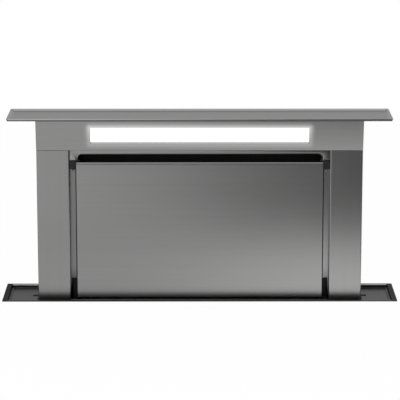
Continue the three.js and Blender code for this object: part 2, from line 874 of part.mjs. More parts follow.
function clampScrew(side) {
  const inner = housingSide + seat;
  const arm = worktopZ - worktopThickness - clampDrop;
  const top = worktopZ - worktopThickness;
  const headLow = arm - clampHeadDrop;
  const headHigh = headLow + clampHeadHeight;
  const profile = [
    [0, headLow], [clampHeadRadius, headLow], [clampHeadRadius, headHigh], [clampBoltRadius, headHigh + 2],
    [clampBoltRadius, top - clampPadHeight - 1], [clampPadRadius, top - clampPadHeight], [clampPadRadius, top],
    [0, top]];
  return turnedZ(profile, 20).translate(side * (inner + clampOffset), 0, 0);
}

function sensor(level) {
  const outer = housingInner - seat;
  const front = railWidth / 2 + sensorGap;
  return box([outer - sensorDepth, outer], [front, front + sensorWidth], [level, level + sensorLength]);
}

// ---- Lift drive ----

function gearbox() {
  const bottom = panInner + seat;
  const back = housingBackInner - seat;
  const front = 2 * screwY - back;
  const top = bottom + gearboxHeight;
  const body = box([-gearboxWidth / 2, gearboxWidth / 2], [front, back], [bottom, top]);
  const turret = cylinderZ(screwRadius + turretHeight, top - 1, top + turretHeight, 0, screwY);
  const bore = cylinderZ(screwRadius + screwPlay, top - gearboxSocket, top + turretHeight + 1, 0, screwY);
  return cut(union(body, turret), bore);
}

function liftMotor() {
  const x = gearboxWidth / 2 + seat;
  const z = panInner + seat + gearboxHeight / 2;
  const neck = motorRadius - motorNeck;
  const cap = motorRadius - motorCap;
  const capStart = motorLength - motorCapLength;
  const profile = [
    [0, 0], [neck, 0], [neck, motorNeckLength], [motorRadius, motorNeckLength + motorBevel],
    [motorRadius, capStart], [cap, capStart + motorCap], [cap, motorLength - motorBevel],
    [cap - motorBevel, motorLength], [0, motorLength]];
  return turnedY(profile).rotateZ(-Math.PI / 2).translate(x, screwY, z);
}

function leadScrew() {
  const bottom = panInner + gearboxHeight - gearboxSocket + 2 * seat;
  const top = rimTop + columnBottom + crossbarSheet + nutHeight + screwOverrun;
  return cylinderZ(screwRadius, bottom, top, 0, screwY);
}

// ---- Blower ----

// The scroll's outline in X and Z: a spiral that opens into a straight outlet towards +X
function scrollOutline(extra, reach) {
  const steps = 40;
  const start = -Math.asin((tongueDrop - extra) / (scrollMin + extra));
  const sweep = Math.PI * 1.5 - start;
  const spiral = Array.from({ length: steps + 1 }, (_, i) => {
    const radius = scrollMin + extra + (scrollMax - scrollMin) * (i / steps);
    const angle = start + sweep * (i / steps);
    return [radius * Math.cos(angle), radius * Math.sin(angle)];
  });
  return polygon([...spiral, [reach, -scrollMax - extra], [reach, extra - tongueDrop]]);
}

function scrollShell() {
  const outer = alongY(scrollOutline(scrollWall, outletReach), scrollFront, scrollBack);
  const inner = alongY(scrollOutline(0, outletReach + 1), scrollFront + scrollWall, scrollBack + 1);
  const motorHole = cylinderY(fanMotorRadius + 2, scrollFront - 1, scrollFront + scrollWall + 1, 0, 0, 36);
  return cut(outer, inner, motorHole).translate(0, 0, blowerHeight);
}

function inletPlate() {
  const plate = alongY(scrollOutline(scrollWall + scrollFlange, outletReach), inletPlateFront, inletPlateBack);
  const bell = turnedY([
    [inletRadius, inletPlateBack - 0.5], [inletRadius, inletPlateFront - bellLength],
    [inletRadius + bellWall, inletPlateFront - bellLength], [inletRadius + bellWall, inletPlateFront - 4],
    [inletRadius + bellWall + 5, inletPlateFront - 0.01], [inletRadius + bellWall + 5, inletPlateBack - 0.5],
    [inletRadius, inletPlateBack - 0.5]], 40);
  const bore = cylinderY(inletRadius, inletPlateFront - 1, inletPlateBack + 1, 0, 0, 40);
  return cut(union(plate, bell), bore).translate(0, 0, blowerHeight);
}

function blade(index) {
  const tip = impellerRadius - 1;
  const root = tip - bladeDepth;
  const turn = (index / bladeCount) * Math.PI * 2;
  const line = [0, 1, 2, 3].map((step) => {
    const radius = root + (bladeDepth * step) / 3;
    const angle = turn + bladeLean * (step / 3) ** 2;
    return [radius * Math.cos(angle), radius * Math.sin(angle)];
  });
  return alongY(folded(line, bladeThickness), bladeFront - 0.5, bladeBack + 0.5);
}

function impeller() {
  const floor = bladeFront - discThickness;
  const hubTop = bladeFront + impellerHubHeight;
  const backDisc = turnedY([
    [fanShaftRadius + fanShaftPlay, floor], [impellerRadius, floor], [impellerRadius, bladeFront],
    [impellerHub + impellerHubFillet, bladeFront], [impellerHub, hubTop],
    [fanShaftRadius + fanShaftPlay, hubTop], [fanShaftRadius + fanShaftPlay, floor]], 48);
  const ringInner = impellerRadius - bladeDepth;
  const ring = turnedY([
    [ringInner, bladeBack], [impellerRadius, bladeBack],
    [impellerRadius, bladeBack + discThickness], [ringInner, bladeBack + discThickness],
    [ringInner, bladeBack]], 48);
  const blades = Array.from({ length: bladeCount }, (_, i) => blade(i));
  return union(backDisc, ring, ...blades).translate(0, 0, blowerHeight);
}

function fanMotor() {
  const neck = bladeFront - discThickness - 2;
  const shaftEnd = bladeFront + fanShaftReach;
  const flangeBack = scrollFront - seat;
  const flangeFront = flangeBack - fanMotorFlangeSheet;
  const profile = [
    [0, motorFront], [fanMotorRadius - fanMotorBevel, motorFront], [fanMotorRadius, motorFront + fanMotorBevel],
    [fanMotorRadius, flangeFront], [fanMotorFlange, flangeFront], [fanMotorFlange, flangeBack],
    [fanMotorRadius, flangeBack], [fanMotorRadius, neck - fanMotorShoulder],
    [fanMotorRadius - fanMotorShoulder, neck], [fanShaftRadius, neck], [fanShaftRadius, shaftEnd],
    [0, shaftEnd]];
  return turnedY(profile, 36).translate(0, 0, blowerHeight);
}

// A loop at x that blends from the scroll's outlet (blend 0) to the round spigot (blend 1)
function collarLoop(x, blend, wall) {
  const sides = 40;
  const halfHigh = (scrollMax - tongueDrop) / 2 + scrollWall;
  const halfDeep = scrollWidth / 2;
  return Array.from({ length: sides }, (_, i) => {
    const angle = ((i + 0.5) / sides) * Math.PI * 2;
    const [c, s] = [Math.cos(angle), Math.sin(angle)];
    const reach = Math.min(halfDeep / Math.abs(c), halfHigh / Math.abs(s));
    const radius = reach * (1 - blend) + spigotRadius * blend - wall;
    return [x, radius * c + (spigotY - outletY) * blend, radius * s];
  });
}

function outletCollar() {
  const start = outletReach + seat;
  const end = start + collarLength;
  const stations = [[start, 0], [start + collarLength / 2, 0.5], [end, 1], [end + spigotLength, 1]];
  const outer = stations.map(([x, blend]) => collarLoop(x, blend, 0));
  const inner = stations.map(([x, blend]) => collarLoop(x, blend, spigotWall));
  const tube = lofted([...outer, ...inner.toReversed()], true);
  const pinReach = spigotRadius - spigotWall / 2;
  const pin = cylinderZ(flapPinRadius, -pinReach, pinReach, flapX, spigotY - outletY, 16);
  return union(tube, pin).translate(0, outletY, outletZ);
}

// Half a disc with two barrels on the pin: side -1 is the front flap, +1 the rear one
function flap(side) {
  const radius = spigotRadius - spigotWall - flapPlay;
  const root = flapBarrelRadius + 0.4;
  const chord = Math.acos(root / radius);
  const half = new THREE.Shape();
  half.absarc(0, 0, radius, -chord, chord);
  const plate = alongX(half, -flapThickness / 2, flapThickness / 2);
  const reach = Math.sqrt(radius ** 2 - root ** 2) - 4;
  const barrels = [0, 1].map((i) => {
    const [low, high] = barrelSpan(side, i, reach);
    const knuckle = cylinderZ(flapBarrelRadius, low, high, 0, 0, 16);
    const web = box([-flapThickness / 2, flapThickness / 2], [0, root + 2], [low, high]);
    return union(knuckle, web);
  });
  const bore = cylinderZ(flapPinRadius + flapBarrelPlay, -radius, radius, 0, 0, 16);
  const whole = cut(union(plate, ...barrels), bore);
  const turned = side > 0 ? whole : whole.rotateZ(Math.PI);
  return turned.translate(flapX, spigotY, outletZ);
}

// The two flaps' barrels take turns along the pin
function barrelSpan(side, index, reach) {
  const quarter = reach / 2;
  const slot = side > 0 ? [-2, 0][index] : [-1, 1][index];
  return [slot * quarter + 0.5, (slot + 1) * quarter - 0.5];
}

// ---- Control box ----

function controlBox() {
  const x = [boxLeft, boxLeft + boxWidth];
  const y = [housingFront - seat - boxDepth, housingFront - seat];
  const z = [boxBottom, boxBottom + boxHeight];
  const shell = cut(
    box(x, y, z),
    box([x[0] + boxWall, x[1] - boxWall], [y[0] - 1, y[1] - boxWall], [z[0] + boxWall, z[1] - boxWall]));
  const inletX = boxLeft + boxWidth / 4;
  const inlet = cylinderZ(glandHole, z[0] - 1, z[0] + boxWall + 1, inletX, y[0] + boxDepth / 2, 20);
  return cut(shell, inlet);
}

function controlLid() {
  const front = housingFront - seat - boxDepth - seat - boxWall;
  const lid = box([boxLeft, boxLeft + boxWidth], [front, front + boxWall], [boxBottom, boxBottom + boxHeight]);
  const ventRight = boxLeft + boxWidth - ventInset;
  const vents = Array.from({ length: ventCount }, (_, i) => {
    const low = boxBottom + ventRise + i * ventPitch;
    return box([ventRight - ventLength, ventRight], [front - 1, front + boxWall + 1], [low, low + ventSlit]);
  });
  return cut(lid, ...vents);
}

function controlBoard() {
  const back = housingFront - seat - boxWall - seat;
  return box(
    [boxLeft + boardInset, boxLeft + boxWidth - boardInset], [back - boardDepth, back],
    [boxBottom + 2 * boardInset, boxBottom + boxHeight - boardInset]);
}

function cableGland() {
  const x = boxLeft + boxWidth / 4;
  const y = housingFront - seat - boxDepth / 2;
  const profile = [
    [glandBore, -glandDrop], [glandRadius - glandBevel, -glandDrop], [glandRadius, glandBevel - glandDrop],
    [glandRadius, -seat], [glandHole - seat, -seat], [glandHole - seat, glandRise], [glandBore, glandRise],
    [glandBore, -glandDrop]];
  return turnedZ(profile, 20).translate(x, y, boxBottom);
}

// ---- Assembly ----

const vent = new THREE.Group();
vent.position.y = frameShift;

const worktopSet = new THREE.Group();
worktopSet.position.z = rimTop;
vent.add(worktopSet);
place(worktopSet, 'flange', flange(), brushedSteel());
place(worktopSet, 'opening_seal', openingSeal(), rubber());

const column = new THREE.Group();
column.position.z = rimTop;
vent.add(column);
place(column, 'cap_plate', capPlate(), brushedSteel());
place(column, 'cap_seal', capSeal(), rubber());
place(column, 'head_fascia', headFascia(), brushedSteel());
place(column, 'head_beam', headBeam(), galvanised());
place(column, 'light_tray', lightTray(), brushedSteel());
place(column, 'light_diffuser', lightDiffuser(), litAcrylic());
place(column, 'led_board', ledBoard(), board());
place(column, 'lintel', lintel(), brushedSteel());
placePair(column, 'pillar', pillar, brushedSteel);
place(column, 'back_panel', backPanel(), brushedSteel());
placePair(column, 'duct_wall', ductWall, darkCoating);
place(column, 'filter_deck', filterDeck(), darkCoating());
place(column, 'lower_fascia', lowerFascia(), brushedSteel());
placePair(column, 'grease_filter', greaseFilter, aluminium);
placePair(column, 'filter_latch', filterLatch, blackPlastic);
placePair(column, 'panel_catch', panelCatch, blackPlastic);
placePair(column, 'hinge_bracket', hingeBracket, galvanised);
place(column, 'base_crossbar', baseCrossbar(), galvanised());
place(column, 'lift_nut', liftNut(), greyPlastic());
placePair(column, 'slide_shoe', slideShoe, greyPlastic);
place(column, 'front_panel', frontPanel(), brushedSteel());
place(column, 'panel_stiffener', panelStiffener(), galvanised());

const housing = new THREE.Group();
vent.add(housing);
place(housing, 'housing_front', housingFrontWall(), galvanised());
place(housing, 'housing_back', housingBackWall(), galvanised());
placePair(housing, 'housing_side', housingSideWall, galvanised);
place(housing, 'housing_bottom', housingBottom(), galvanised());
placePair(housing, 'guide_rail', guideRail, machinedSteel);
placePair(housing, 'leg', leg, galvanised);
placePair(housing, 'clamp_bracket', clampBracket, galvanised);
placePair(housing, 'clamp_screw', clampScrew, machinedSteel);
const lowestColumn = rimTop + columnBottom - raisedHeight;
place(housing, 'sensor_upper', sensor(rimTop + columnBottom), blackPlastic());
place(housing, 'sensor_lower', sensor(lowestColumn), blackPlastic());

const drive = new THREE.Group();
vent.add(drive);
place(drive, 'gearbox', gearbox(), aluminium());
place(drive, 'lift_motor', liftMotor(), blackPlastic());
place(drive, 'lead_screw', leadScrew(), machinedSteel());

const blower = new THREE.Group();
vent.add(blower);
place(blower, 'scroll_shell', scrollShell(), greyPlastic());
place(blower, 'inlet_plate', inletPlate(), greyPlastic());
place(blower, 'impeller', impeller(), greyPlastic());
place(blower, 'fan_motor', fanMotor(), aluminium());
place(blower, 'outlet_collar', outletCollar(), greyPlastic());
place(blower, 'flap_front', flap(-1), blackPlastic());
place(blower, 'flap_rear', flap(1), blackPlastic());

const controls = new THREE.Group();
vent.add(controls);
place(controls, 'control_box', controlBox(), galvanised());
place(controls, 'control_board', controlBoard(), board());
place(controls, 'control_lid', controlLid(), galvanised());
place(controls, 'cable_gland', cableGland(), blackPlastic());

export default vent;
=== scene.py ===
"""A telescopic downdraft vent: finishes, small parts, worktop, lights and camera."""

import json
import math

import bmesh
import bpy
from bpy.props import FloatProperty, FloatVectorProperty, IntProperty, PointerProperty
from mathutils import Matrix, Vector


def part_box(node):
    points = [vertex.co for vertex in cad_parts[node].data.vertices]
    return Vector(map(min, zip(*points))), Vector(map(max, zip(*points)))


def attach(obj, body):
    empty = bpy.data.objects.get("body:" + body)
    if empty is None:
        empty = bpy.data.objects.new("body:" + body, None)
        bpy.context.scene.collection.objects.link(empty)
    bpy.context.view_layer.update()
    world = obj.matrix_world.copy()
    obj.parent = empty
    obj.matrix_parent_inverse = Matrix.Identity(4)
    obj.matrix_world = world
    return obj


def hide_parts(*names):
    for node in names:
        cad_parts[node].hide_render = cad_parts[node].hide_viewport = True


bl_info = {
    "name": "Downdraft Vent",
    "version": (1, 0, 0),
    "blender": (4, 5, 0),
    "location": "3D View > Sidebar > Vent",
    "description": "Builds the finishes and small parts of a telescopic downdraft vent",
    "category": "Object",
}

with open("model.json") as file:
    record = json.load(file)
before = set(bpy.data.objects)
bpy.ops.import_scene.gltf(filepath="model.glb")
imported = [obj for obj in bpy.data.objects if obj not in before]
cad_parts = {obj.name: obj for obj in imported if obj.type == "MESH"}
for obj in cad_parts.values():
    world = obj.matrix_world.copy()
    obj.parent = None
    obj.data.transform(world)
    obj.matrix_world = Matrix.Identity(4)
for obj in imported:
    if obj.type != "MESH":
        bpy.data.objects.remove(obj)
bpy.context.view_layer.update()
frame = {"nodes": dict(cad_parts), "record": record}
NODES = frame["nodes"]
RECORD = frame["record"]
BODY_OF = {
    node: body for body, nodes in RECORD["behaviour"]["bodies"].items() for node in nodes}
SLOT_OF = {entry["node"]: entry["material_slot"] for entry in RECORD["subparts"]}
MM = 0.001
SEAT = 0.3 * MM  # the gap with which pieces seat on each other
SMOOTH_ANGLE = math.radians(35)  # a sharper edge is shaded as an edge
FOLD_ANGLE = math.radians(40)  # a sharper edge is rounded
FACET_ANGLE = math.radians(20)  # faces of one rounded wall meet at less
PLANE_ANGLE = math.radians(0.6)  # faces that meet at less lie in one plane


# ---- Sizes and colours a user would change ----


class SteelSettings(bpy.types.PropertyGroup):
    column_colour: FloatVectorProperty(
        name="Column", description="Brushed steel of the column and the cap", subtype="COLOR",
        default=(0.290, 0.290, 0.288))
    # Painted shade: the flange's steel is set darker than the column's.
    flange_colour: FloatVectorProperty(
        name="Flange", description="Steel of the worktop flange", subtype="COLOR",
        default=(0.100, 0.100, 0.099))
    roughness: FloatProperty(
        name="Roughness", description="How matt the brushed steel is",
        default=0.30, min=0.05, max=1.0)
    grain_length: FloatProperty(
        name="Grain length", description="Length of a brush stroke", subtype="DISTANCE",
        default=0.12)
    grain_width: FloatProperty(
        name="Grain width", description="Width of a brush stroke", subtype="DISTANCE",
        default=0.7 * MM)


class EdgeSettings(bpy.types.PropertyGroup):
    fold: FloatProperty(
        name="Fold radius", description="Radius of a fold in sheet steel", subtype="DISTANCE",
        default=1.4 * MM)
    rim: FloatProperty(
        name="Rim radius", description="Radius of a cut edge", subtype="DISTANCE",
        default=0.25 * MM)


class LightSettings(bpy.types.PropertyGroup):
    strength: FloatProperty(
        name="Lit window", description="Brightness of the light in the head", default=1.4, min=0.0)
    glow: FloatProperty(
        name="Glow", description="Light that spills on the steel beside the window",
        default=0.50, min=0.0)
    spill: FloatProperty(
        name="Spill", description="How far that light reaches", subtype="DISTANCE",
        default=16 * MM)
    chips: IntProperty(name="Chips", description="Light chips along the board", default=36, min=2)


class FastenerSettings(bpy.types.PropertyGroup):
    rivet_radius: FloatProperty(
        name="Rivet radius", description="Head of a rivet", subtype="DISTANCE", default=2.4 * MM)
    screw_radius: FloatProperty(
        name="Screw radius", description="Head of a screw", subtype="DISTANCE", default=3.5 * MM)
    thread_pitch: FloatProperty(
        name="Thread pitch", description="Pitch of the lead screw", subtype="DISTANCE",
        default=10 * MM)


class StageSettings(bpy.types.PropertyGroup):
    lens: FloatProperty(name="Lens", description="Focal length in millimetres", default=194.7)
    pitch: FloatProperty(
        name="Pitch", description="How far the camera looks down", subtype="ANGLE",
        default=math.radians(12.647))
    yaw: FloatProperty(
        name="Yaw", description="Turn of the camera about the vertical", subtype="ANGLE",
        default=math.radians(-0.127))
    place: FloatVectorProperty(
        name="Camera", description="Place of the camera", subtype="TRANSLATION",
        default=(-0.0097, -4.6517, 1.945))


SETTINGS = {
    "steel": SteelSettings, "edges": EdgeSettings, "light": LightSettings,
    "fasteners": FastenerSettings, "stage": StageSettings,
}


def setting(group):
    return getattr(bpy.context.scene, f"vent_{group}")


# ---- Materials ----

BLACK = (0.0, 0.0, 0.0)


class Field:
    """A number or vector that changes over a surface, with Python's operators on numbers."""

    def __init__(self, finish, socket):
        self.finish = finish
        self.socket = socket

    def math(self, operation, *others):
        return self.finish.node(
            "Math", {"operation": operation}, dict(enumerate((self, *others))))[0]

    def __add__(self, other):
        return self.math("ADD", other)

    def __sub__(self, other):
        return self.math("SUBTRACT", other)

    def __rsub__(self, other):
        return self.finish.node("Math", {"operation": "SUBTRACT"}, {0: other, 1: self})[0]

    def __mul__(self, other):
        return self.math("MULTIPLY", other)

    def __truediv__(self, other):
        return self.math("DIVIDE", other)

    def __pow__(self, other):
        return self.math("POWER", other)

    def __abs__(self):
        return self.math("ABSOLUTE")

    __radd__ = __add__
    __rmul__ = __mul__

    def least(self, other):
        return self.math("MINIMUM", other)

    def most(self, other):
        return self.math("MAXIMUM", other)

    def clamped(self):
        return self.most(0.0).least(1.0)

    def step(self, low, high):
        """0 below low, 1 above high, smooth between."""
        return self.finish.node(
            "MapRange", {"interpolation_type": "SMOOTHSTEP"},
            {"Value": self, "From Min": low, "From Max": high})[0]

    def sine(self):
        return self.math("SINE")


def add_node(tree, kind, settings, sockets):
    """A new node: its settings first, then the values or links of its sockets."""
    node = tree.nodes.new(kind)
    for key, value in settings.items():
        setattr(node, key, value)
    for key, value in sockets.items():
        value = value.socket if isinstance(value, Field) else value
        if isinstance(value, bpy.types.NodeSocket):
            tree.links.new(value, node.inputs[key])
        else:
            node.inputs[key].default_value = value
    return node


class Shading:
    """A shader tree under construction, of a material or of the world."""

    def __init__(self, owner):
        owner.use_nodes = True
        self.tree = owner.node_tree
        self.tree.nodes.clear()

    def node(self, kind, settings, sockets):
        """The outputs of a new shader node."""
        return Outputs(self, add_node(self.tree, "ShaderNode" + kind, settings, sockets))

    def parts(self, vector):
        split = self.node("SeparateXYZ", {}, {"Vector": vector})
        return split["X"], split["Y"], split["Z"]

    def mix(self, factor, low, high):
        """One colour where factor is 0, another where it is 1."""
        low, high = (
            value if isinstance(value, Field) else (*value, 1.0) for value in (low, high))
        return self.node("Mix", {"data_type": "RGBA"}, {0: factor, 6: low, 7: high})[2]


class Finish(Shading):
    """A material under construction."""

    def __init__(self, name):
        self.material = bpy.data.materials.new(name)
        super().__init__(self.material)
        self.place = self.node("TexCoord", {}, {})["Object"]

    def axes(self):
        return self.parts(self.place)

    def noise(self, scale, detail=2.0, roughness=0.5):
        """Soft noise from 0 to 1; scale is one number, or one for each axis."""
        vector = self.place
        if not isinstance(scale, (int, float)):
            vector = self.node("Mapping", {}, {"Vector": vector, "Scale": scale})["Vector"]
            scale = 1.0
        return self.node("TexNoise", {}, {
            "Vector": vector, "Scale": scale, "Detail": detail, "Roughness": roughness})[0]

    def cells(self, scale, channel=0):
        """A number from 0 to 1 that differs from cell to cell."""
        colour = self.node("TexVoronoi", {}, {"Vector": self.place, "Scale": scale})["Color"]
        return self.node("SeparateColor", {}, {"Color": colour})[channel]

    def shades(self, tone, colour, spread):
        """A colour that goes darker where tone is 0 and lighter where it is 1."""
        dark = [value * (1 - spread) for value in colour]
        light = [min(value * (1 + spread), 1.0) for value in colour]
        return self.mix(tone, dark, light)

    def bump(self, height, distance=1.0):
        """A normal that follows height, which distance turns into metres."""
        return self.node("Bump", {}, {"Height": height, "Distance": distance})["Normal"]

    def surface(self, constants, **fields):
        """The closing shader: fixed numbers, and the fields that change over the surface."""
        names = {"colour": "Base Color", "roughness": "Roughness", "normal": "Normal",
                 "glow": "Emission Color"}
        sockets = {**constants, **{names[key]: value for key, value in fields.items()}}
        shader = self.node("BsdfPrincipled", {}, sockets)["BSDF"]
        self.node("OutputMaterial", {}, {"Surface": shader})
        return self.material


class Outputs:
    """The outputs of a node, by name or number, each as a Field."""

    def __init__(self, finish, node):
        self.finish = finish
        self.outputs = node.outputs

    def __getitem__(self, key):
        return Field(self.finish, self.outputs[key])


def brushed_steel(name, colour, grain="x", grazing=0.7, detail=None):
    """Stainless steel with long fine strokes; detail changes the fields of one finish."""
    steel = setting("steel")
    finish = Finish(name)
    strokes = [
        1 / (steel.grain_length if axis == grain else steel.grain_width) for axis in "xyz"]
    fine = finish.noise(strokes, 3.0, 0.6)
    broad = finish.noise([value * 0.14 for value in strokes], 2.0)
    handling = finish.noise(7.0, 3.0)
    tone = (fine * 0.45 + broad * 0.35 + handling * 0.2).clamped()
    fields = {
        "colour": finish.shades(tone, colour, 0.12),
        "roughness": steel.roughness - 0.06 + fine * 0.08 + handling * 0.04,
        "relief": fine * (0.004 * MM),
    }
    if detail:
        fields.update(detail(finish, fields))
    fields["normal"] = finish.bump(fields.pop("relief"))
    constants = {"Metallic": 1.0, "Specular Tint": (grazing, grazing, grazing, 1.0)}
    if "glow" in fields:
        constants["Emission Strength"] = 1.0
    return finish.surface(constants, **fields)


def column_steel(name, grain="x", detail=None):
    return brushed_steel(name, setting("steel").column_colour, grain, detail=detail)


def window_spill(finish, strength):
    """Light beside the window: full at its edge, gone at the reach of the spill."""
    low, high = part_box("light_diffuser")
    drop = 2.1 * MM  # the diffuser is set back and stands higher than its opening
    middle = (low.z + high.z) / 2 - drop
    across, _, up = finish.axes()
    side = (abs(across) - high.x).most(0.0)
    over = (abs(up - middle) - (high.z - low.z) / 2).most(0.0)
    away = (side * side + over * over) ** 0.5
    above = up.step(low.z, high.z)
    line = 0.35 + 0.65 * (
        away.step(1.2 * MM, 2.6 * MM) + above * side.step(0.5 * MM, 0.0)).clamped()
    reach = (1 - away / setting("light").spill).clamped() ** 2
    share = reach * line * (0.45 + above * 0.55)
    return {"glow": finish.mix(share * strength, BLACK, (1.0, 1.0, 0.98))}


def cap_painted_light(finish, fields):
    """Painted highlight and painted shade: the cap's rim is painted lighter, and the foot of its
    outer edge is painted dark.
    """
    low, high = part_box("cap_plate")
    across, away, up = finish.axes()
    inside = (high.x - abs(across)).least(high.y - away).least(away - low.y)
    # painted highlight: a lighter band along the rim
    rim = finish.mix(inside.step(9.5 * MM, 8.5 * MM), fields["colour"], (0.38, 0.38, 0.378))
    # painted shade: dark at the foot of the outer edge
    foot = up.step(low.z + 1.3 * MM, low.z + 0.9 * MM) * inside.step(1.0 * MM, 0.6 * MM)
    return {"colour": finish.mix(foot, rim, (0.08, 0.08, 0.08))}


def lintel_painted_shade(finish, fields):
    """Painted shade: the lintel is painted dark where its edge rolls in over the slot, most so at
    the right.
    """
    _, facing, _ = finish.parts(finish.node("TexCoord", {}, {})["Normal"])
    across, _, _ = finish.axes()
    rolled = facing.step(-0.9995, -0.955)  # facing is -1 where the steel looks forward
    # painted shade, stronger to the right
    dark = rolled * (0.50 + across * 1.6).clamped()
    return {"colour": finish.mix(dark, fields["colour"], (0.03, 0.03, 0.03))}


def gap_painted_shade(finish, fields):
    """Painted shade: the landing beside the panel is painted darker, more so on the left, and dark
    down by the flange, where no light falls.
    """
    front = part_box("front_panel")[0].y
    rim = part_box("flange")[1].z
    edge = 289 * MM  # where the landing meets the pillar's inner side
    across, away, up = finish.axes()
    sunk = away.step(front + 2 * MM, front + 5 * MM) * abs(across).step(edge, edge - 1 * MM)
    low_shade = up.step(rim + 75 * MM, rim + 5 * MM)
    # painted shade on the sunk landing: some everywhere, more to the left and low down
    dark = sunk * (0.12 - across * 0.45 + low_shade * 0.80).clamped()
    return {"colour": finish.mix(dark, fields["colour"], BLACK)}


def panel_hem(finish, fields):
    """The panel's top edge is turned back in a soft hem."""
    hem, slope = 6 * MM, 0.8
    _, _, up = finish.axes()
    above = (up - (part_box("front_panel")[1].z - hem)).most(0.0)
    return {"relief": fields["relief"] - above * above * (slope / (2 * hem))}


def flange_painted_light(finish, fields):
    """Painted light and shade: the rim at both ends is painted darker and the recess lighter, a
    painted highlight runs along the rim's inner edge, and the left end is painted darker.
    """
    low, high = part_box("flange")
    across, away, up = finish.axes()
    side = high.x - abs(across)
    end = (away - low.y).least(high.y - away)
    recess = side.step(13 * MM, 15 * MM) * end.step(12 * MM, 14 * MM)
    # painted shade: the rim is darker at both ends
    colour = finish.mix(side.step(10 * MM, 14 * MM), (0.060, 0.060, 0.059), fields["colour"])
    # painted light: the recess is lighter
    colour = finish.mix(recess, colour, (0.21, 0.21, 0.208))
    # painted highlight along the rim's inner edge
    edge = end.step(6 * MM, 7.5 * MM) * end.step(10 * MM, 9.3 * MM) * side.step(12 * MM, 14 * MM)
    edge = edge * ((high.z - up).step(2.4 * MM, 1.8 * MM) + away.step(0.0, -1 * MM)).clamped()
    colour = finish.mix(edge, colour, (0.60, 0.60, 0.598))
    # painted shade at the left end, more on its rim
    dull = across.step(0.2, -0.3) * (0.13 + side.step(14 * MM, 10 * MM) * 0.22)
    return {"colour": finish.mix(dull, colour, BLACK)}


def galvanised(name):
    """Zinc-coated sheet with its pale and dark spangles."""
    finish = Finish(name)
    grey = finish.cells(95.0)
    small = finish.cells(240.0, 1)
    dull = finish.noise(14.0, 3.0)
    tone = (grey * 0.5 + small * 0.25 + dull * 0.25).clamped()
    return finish.surface(
        {"Metallic": 1.0}, colour=finish.shades(tone, (0.40, 0.415, 0.425), 0.22),
        roughness=0.34 + grey * 0.14 + dull * 0.12, normal=finish.bump(tone, 0.06 * MM))


def dark_coating(name):
    """Black powder coating on the air side of the column; its black is also painted shade for the
    dark inside the slot.
    """
    finish = Finish(name)
    grain = finish.noise(900.0, 2.0)
    return finish.surface(
        {"Metallic": 0.0, "Specular IOR Level": 0.3},
        colour=finish.shades(grain, (0.012, 0.012, 0.013), 0.3),
        roughness=0.55 + grain * 0.15, normal=finish.bump(grain, 0.08 * MM))


def machined_steel(name, turning):
    """Bright turned or drawn steel; turning is the axis along which its marks repeat."""
    finish = Finish(name)
    marks = finish.noise([1500.0 if axis == turning else 20.0 for axis in "xyz"], 2.0)
    oil = finish.noise(25.0, 3.0)
    tone = (marks * 0.5 + oil * 0.5).clamped()
    return finish.surface(
        {"Metallic": 1.0}, colour=finish.shades(tone, (0.46, 0.46, 0.45), 0.18),
        roughness=0.24 + oil * 0.16, normal=finish.bump(marks, 0.03 * MM))


def cast_aluminium(name):
    """Bare cast aluminium with a coarse skin."""
    finish = Finish(name)
    grain = finish.noise(420.0, 3.0, 0.6)
    stain = finish.noise(18.0, 3.0)
    tone = (grain * 0.4 + stain * 0.6).clamped()
    return finish.surface(
        {"Metallic": 1.0}, colour=finish.shades(tone, (0.50, 0.51, 0.52), 0.15),
        roughness=0.42 + stain * 0.15, normal=finish.bump(grain, 0.25 * MM))


def filter_mesh(name):
    """Expanded aluminium mesh: staggered diamonds with dark gaps."""
    finish = Finish(name)
    across, _, up = finish.axes()
    stretch, turns = 0.6, 1700.0
    slant = ((across + up * stretch) * turns).sine()
    counter = ((across - up * stretch) * turns).sine()
    wire = (abs(slant).least(abs(counter))).step(0.55, 0.25)
    wear = finish.noise(60.0, 3.0)
    return finish.surface(
        {"Metallic": 1.0},
        colour=finish.mix(wire, (0.10, 0.10, 0.105), (0.56, 0.57, 0.58)),
        roughness=0.36 + wear * 0.2, normal=finish.bump(wire, 0.4 * MM))


def moulded(name, colour, grain_scale, roughness, depth):
    """Moulded plastic or rubber with a fine tool grain and a little dust in it."""
    finish = Finish(name)
    grain = finish.noise(grain_scale, 2.0, 0.6)
    dust = finish.noise(30.0, 4.0)
    return finish.surface(
        {"Metallic": 0.0, "Specular IOR Level": 0.3},
        colour=finish.shades((grain * 0.4 + dust * 0.6).clamped(), colour, 0.22),
        roughness=roughness - 0.06 + dust * 0.16, normal=finish.bump(grain, depth))


def circuit_board(name):
    """Green solder mask over copper tracks."""
    finish = Finish(name)
    across, _, up = finish.axes()
    jog = finish.cells(60.0)
    rows = ((up * 900.0 + jog * 6.0).sine()).step(0.55, 0.75)
    columns = ((across * 900.0 + jog * 9.0).sine()).step(0.7, 0.85)
    choice = jog.step(0.45, 0.5)
    track = (rows * choice + columns * (1 - choice)).clamped()
    return finish.surface(
        {"Metallic": 0.0, "Coat Weight": 0.4},
        colour=finish.mix(track, (0.010, 0.075, 0.030), (0.035, 0.20, 0.08)),
        roughness=0.35 + jog * 0.1, normal=finish.bump(track, 0.04 * MM))


def lit_acrylic(name):
    """Opal acrylic lit from behind, a touch brighter in front of each chip."""
    light = setting("light")
    finish = Finish(name)
    across, _, _ = finish.axes()
    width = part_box("led_board")[1].x * 2
    ripple = (across * (math.tau * light.chips / width)).sine() * 0.5 + 0.5
    return finish.surface(
        {"Emission Strength": light.strength, "Roughness": 0.5},
        colour=finish.mix(ripple, (0.86, 0.86, 0.85), (0.90, 0.90, 0.89)),
        glow=finish.mix(ripple, (0.97, 0.97, 0.96), (1.0, 1.0, 0.99)))


